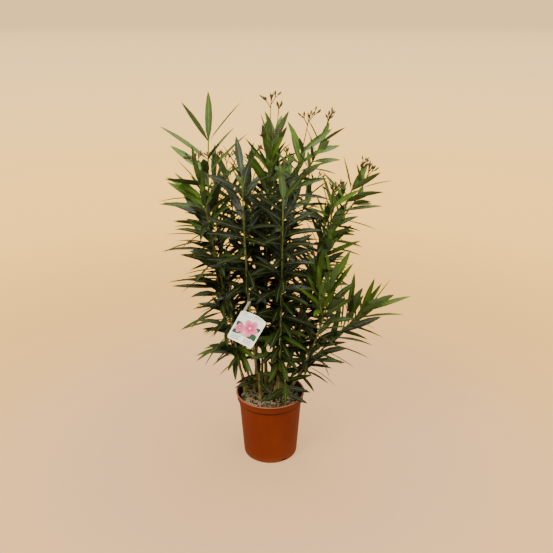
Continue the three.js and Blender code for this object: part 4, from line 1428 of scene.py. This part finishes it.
def ring_skin():
    """The ring round the cane: a square section carried round the ring's axis."""
    first = unit(np.cross(ring_axis, UP))
    spokes = swung(ring_angles(RING_SIDES), first, np.cross(ring_axis, first))
    reach = ring_bore + RING_WALL
    section = [(ring_bore, -1), (reach, -1), (reach, 1), (ring_bore, 1)]
    rings = [ring_centre + r * spokes + s * RING_HEIGHT / 2 * ring_axis for r, s in section]
    points = np.concatenate(rings)
    j = np.arange(RING_SIDES)
    k = (j + 1) % RING_SIDES
    a = np.arange(4)[:, None] * RING_SIDES
    b = np.roll(a, -1, axis=0)
    quads = np.stack([a + j, a + k, b + k, b + j], axis=-1).reshape(-1, 4)
    a, b, c = (points[quads[:, n]] - ring_centre for n in range(3))
    if (a * np.cross(b, c)).sum() < 0:
        quads = quads[:, ::-1]
    count = len(quads)
    none = np.zeros((0, 3), dtype=int)
    return Skin(points, quads, none, np.full((count, 4, 2), 3.0), np.zeros((0, 3, 2)),
                np.ones(count, dtype=int), np.zeros(0, dtype=int))


# %% Label finishes
PRINT_EDGE = 0.004


def petal_mask(finish, u, v, middle, reach, turn):
    """Five rounded petals: 1 where the distance from the middle is under reach * a flower curve.

    The curve is 0.62 + 0.38 * |cos(2.5 * angle)|, which has five lobes.
    """
    x = (u - middle[0]) * CARD_WIDTH / CARD_LENGTH
    y = v - middle[1]
    distance = (x * x + y * y).math("SQRT")
    angle = finish.math("ARCTAN2", y, x)
    lobes = abs((angle * 2.5 + turn).math("COSINE")) * 0.38 + 0.62
    share = distance / (lobes * reach)
    return 1 - share.rise(0.94, 1.02), share


def lance_mask(u, v, foot, way, length, width):
    """One leaf shape: 1 inside |across| < width * 4 s (1 - s), where s is the share along it."""
    x = (u - foot[0]) * CARD_WIDTH / CARD_LENGTH
    y = v - foot[1]
    along, aside = wheeled(-radians(way), x, y)
    along = along / length
    edge = along * (1 - along) * (4 * width)
    return (edge - abs(aside)).rise(-PRINT_EDGE, PRINT_EDGE)


def inside(place, low, high):
    """1 between two limits, with soft edges."""
    start = place.rise(low - PRINT_EDGE, low + PRINT_EDGE)
    return start * (1 - place.rise(high - PRINT_EDGE, high + PRINT_EDGE))


def band_mask(u, v, left, right, low, high):
    """1 inside an upright rectangle."""
    return inside(u, left, right) * inside(v, low, high)


# Painted light: the strength of the card's glow.
CARD_PAINTED_GLOW = 1.1
LANCE_GREEN = tint(0.035, 0.085, 0.045)
BAR_GREY = tint(0.10, 0.12, 0.11)
BAR_STRENGTH = 0.75
PANEL = (0.05, 0.95, 0.24, 0.84)
LANCES = (
    ((0.62, 0.50), 30, 0.40, 0.070),
    ((0.62, 0.44), -24, 0.44, 0.095),
    ((0.40, 0.46), 152, 0.42, 0.080),
    ((0.46, 0.42), -158, 0.46, 0.090),
    ((0.62, 0.42), -62, 0.26, 0.070),
)
BLOSSOMS = (((0.58, 0.56), 0.285, 0.4), ((0.25, 0.45), 0.165, 1.3))
BARS = (
    (0.07, 0.44, 0.165, 0.195), (0.07, 0.40, 0.110, 0.140), (0.07, 0.42, 0.055, 0.085),
    (0.56, 0.92, 0.165, 0.195), (0.56, 0.86, 0.110, 0.140), (0.56, 0.90, 0.055, 0.085),
    (0.10, 0.26, 0.935, 0.965), (0.52, 0.80, 0.935, 0.965), (0.10, 0.70, 0.875, 0.890),
)


def print_finish():
    """The card's face: white card, a pale picture panel, leaves, two blossoms and flat bands.

    The card glows a little in its own colours, as painted light, so its white is brighter than its
    light.
    """
    finish = Finish("label_print", Specular_IOR_Level=0.5, Coat_Weight=0.2, Coat_Roughness=0.25,
                    Emission_Strength=CARD_PAINTED_GLOW)
    v, u = finish.surface()
    white = tint(0.98, 0.93, 0.78)
    face = 1 - u.over(1.0)
    panel = band_mask(u, v, *PANEL)
    picture = finish.mix(v.rise(0.3, 0.7), tint(0.70, 0.40, 0.40), tint(0.86, 0.90, 0.74))
    coats = [(panel, picture)]
    for lance in LANCES:
        coats.append((lance_mask(u, v, *lance) * panel, LANCE_GREEN))
    for blossom in BLOSSOMS:
        petals, share = petal_mask(finish, u, v, *blossom)
        pink = finish.mix(share.rise(0.1, 0.9), tint(0.55, 0.03, 0.12), tint(0.84, 0.20, 0.33))
        pink = finish.mix(1 - share.rise(0.10, 0.2), pink, tint(0.90, 0.75, 0.45))
        coats.append((petals * panel, pink))
    for bar in BARS:
        coats.append((band_mask(u, v, *bar) * BAR_STRENGTH, BAR_GREY))
    colour = finish.mix(face, white, finish.layers(white, *coats))
    # The print glows in its own colours: painted light.
    finish.set("Emission Color", colour)
    grain = finish.noise(900, 2)
    return finish.done(colour, 0.34 + 0.1 * grain, grain, 0.0001, 0.2)


def strap_finish():
    """Plain pale plastic with a fine grain."""
    finish = Finish("label_strap", Specular_IOR_Level=0.5)
    grain = finish.noise(700, 2)
    colour = finish.mix(grain, tint(0.78, 0.82, 0.74), tint(0.90, 0.93, 0.85))
    return finish.done(colour, 0.36 + 0.12 * grain, grain, 0.0001, 0.3)


label = joined([card_skin(), strap_skin(), ring_skin()])
dressed("hanging_label", label, [print_finish(), strap_finish()], ["label"])

# %% [markdown]
# Camera, sweep and light
#
# The photograph looks down on the plant at 21.5 degrees from two metres away, by a fit of the
# pot's rim and foot. The plant stands before a pale warm sweep with no visible corner
# between floor and wall, as a photographer hangs one. A single big bowl gives that from
# every side: its flat floor takes the soft shadow near the pot, and further out its own glow
# takes over, so that no far wall has to be lit. It is seen by the camera alone. The plant is
# lit by the air round it, which is bright overhead and dim and warm below, and by wide soft
# panels high in front and overhead.

# %% Camera
CAMERA_PLACE = (0.0207, -2.0, 1.424)
CAMERA_DIP = 21.5
FRAME_PIXELS = 553
FOCAL_PIXELS = 688
SENSOR = 36.0

camera = placed("camera", bpy.data.cameras.new("camera"))
camera.data.sensor_width = SENSOR
camera.data.lens = SENSOR * FOCAL_PIXELS / FRAME_PIXELS
camera.data.clip_end = 500
camera.location = CAMERA_PLACE
camera.rotation_euler = (radians(90 - CAMERA_DIP), 0, 0)
bpy.context.scene.camera = camera
print("lens:", round(camera.data.lens, 2), "mm")

# %% Sweep
SWEEP_RADIUS = 60.0
SWEEP_RINGS = 30
SWEEP_SIDES = 96
SWEEP_GLOW = (
    (0.5, tint(1.52, 0.87, 0.40)),
    (1.3, tint(1.95, 1.05, 0.24)),
    (3.3, tint(2.40, 1.34, 0.30)),
    (7.5, tint(2.25, 1.36, 0.42)),
    (19.0, tint(1.95, 1.25, 0.50)),
    (60.0, tint(1.50, 0.97, 0.42)),
)
SHADOW_SHARE = 0.5
SHADOW_FROM = 0.5
SHADOW_TO = 2.4
DOME_TOP = 88


def sweep_finish():
    """Glow by distance from the pot, mixed near the pot with a lit floor that takes shadow."""
    finish = Finish("studio_sweep", Specular_IOR_Level=0.0, Roughness=0.9)
    finish.set("Base Color", tint(0.90, 0.55, 0.27))
    x, y, z = finish.axes(finish.place())
    radius = (x * x + y * y).math("SQRT")
    (near, colour), *steps = SWEEP_GLOW
    for far, next_colour in steps:
        colour = finish.mix(radius.rise(near, far), colour, next_colour)
        near = far
    glow = finish.node("ShaderNodeEmission", {}, {"Color": colour})
    share = 1 - (1 - radius.rise(SHADOW_FROM, SHADOW_TO)) * SHADOW_SHARE
    lit = Wire(finish, finish.shader.outputs[0])
    blend = finish.node("ShaderNodeMixShader", {}, {0: share, 1: lit, 2: glow})
    finish.join(blend, finish.tree.nodes["Material Output"].inputs["Surface"])
    return finish.material


def sweep_bowl():
    """A floor whose rings widen as share^3, with a dome of the same radius over it.

    Floor: (r cos a, r sin a, 0). Dome: (R cos b cos a, R cos b sin a, R sin b), b to 88 degrees.
    """
    floor = SWEEP_RADIUS * np.linspace(0.05, 1, SWEEP_RINGS) ** 3
    rise = np.radians(np.linspace(0, DOME_TOP, SWEEP_RINGS // 2 + 1)[1:])
    radius = np.concatenate([floor, SWEEP_RADIUS * np.cos(rise)])
    height = np.concatenate([0 * floor, SWEEP_RADIUS * np.sin(rise)])
    skin = turned(radius, height, SWEEP_SIDES, SWEEP_RADIUS)
    mesh = mesh_of("studio_sweep", skin._replace(quads=skin.quads[:, ::-1], tris=skin.tris[:, ::-1]))
    mesh.materials.append(sweep_finish())
    mesh.shade_smooth()
    return placed("studio_sweep", mesh)


sweep = sweep_bowl()
sweep.visible_diffuse = False
sweep.visible_glossy = False
sweep.visible_transmission = False
sweep.visible_shadow = False

# %% Lights
PANELS = (
    ("key_panel", (-1.7, -2.0, 3.2), (0.0, 0.0, 0.65), 1.5, 95),
    ("fill_panel", (2.3, -2.0, 2.2), (0.0, 0.0, 0.60), 2.0, 34),
    ("top_panel", (0.3, 0.5, 3.6), (0.0, 0.0, 0.60), 2.2, 80),
)
AIR_BELOW = tint(0.40, 0.31, 0.18)
AIR_ABOVE = tint(0.86, 0.83, 0.74)


def panel(name, spot, aim, size, power):
    """A square light panel at a spot, turned to face a point."""
    light = bpy.data.lights.new(name, "AREA")
    light.size = size
    light.energy = power
    lamp = placed(name, light)
    lamp.location = spot
    x, y, z = np.array(aim) - np.array(spot)
    lamp.rotation_euler = (acos(-z / np.linalg.norm([x, y, z])), 0, atan2(y, x) - pi / 2)


def studio_air():
    """The light of the air: from dim and warm below to bright overhead, by direction."""
    world = bpy.data.worlds.new("studio_air")
    world.use_nodes = True
    air = Nodes(world.node_tree)
    way = air.node("ShaderNodeTexCoord", {}, {}, "Generated")
    colour = air.mix(air.axes(way)[2].rise(-0.1, 0.9), AIR_BELOW, AIR_ABOVE)
    air.join(colour, world.node_tree.nodes["Background"].inputs["Color"])
    return world


for row in PANELS:
    panel(*row)
bpy.context.scene.world = studio_air()
print("lights:", [row[0] for row in PANELS])
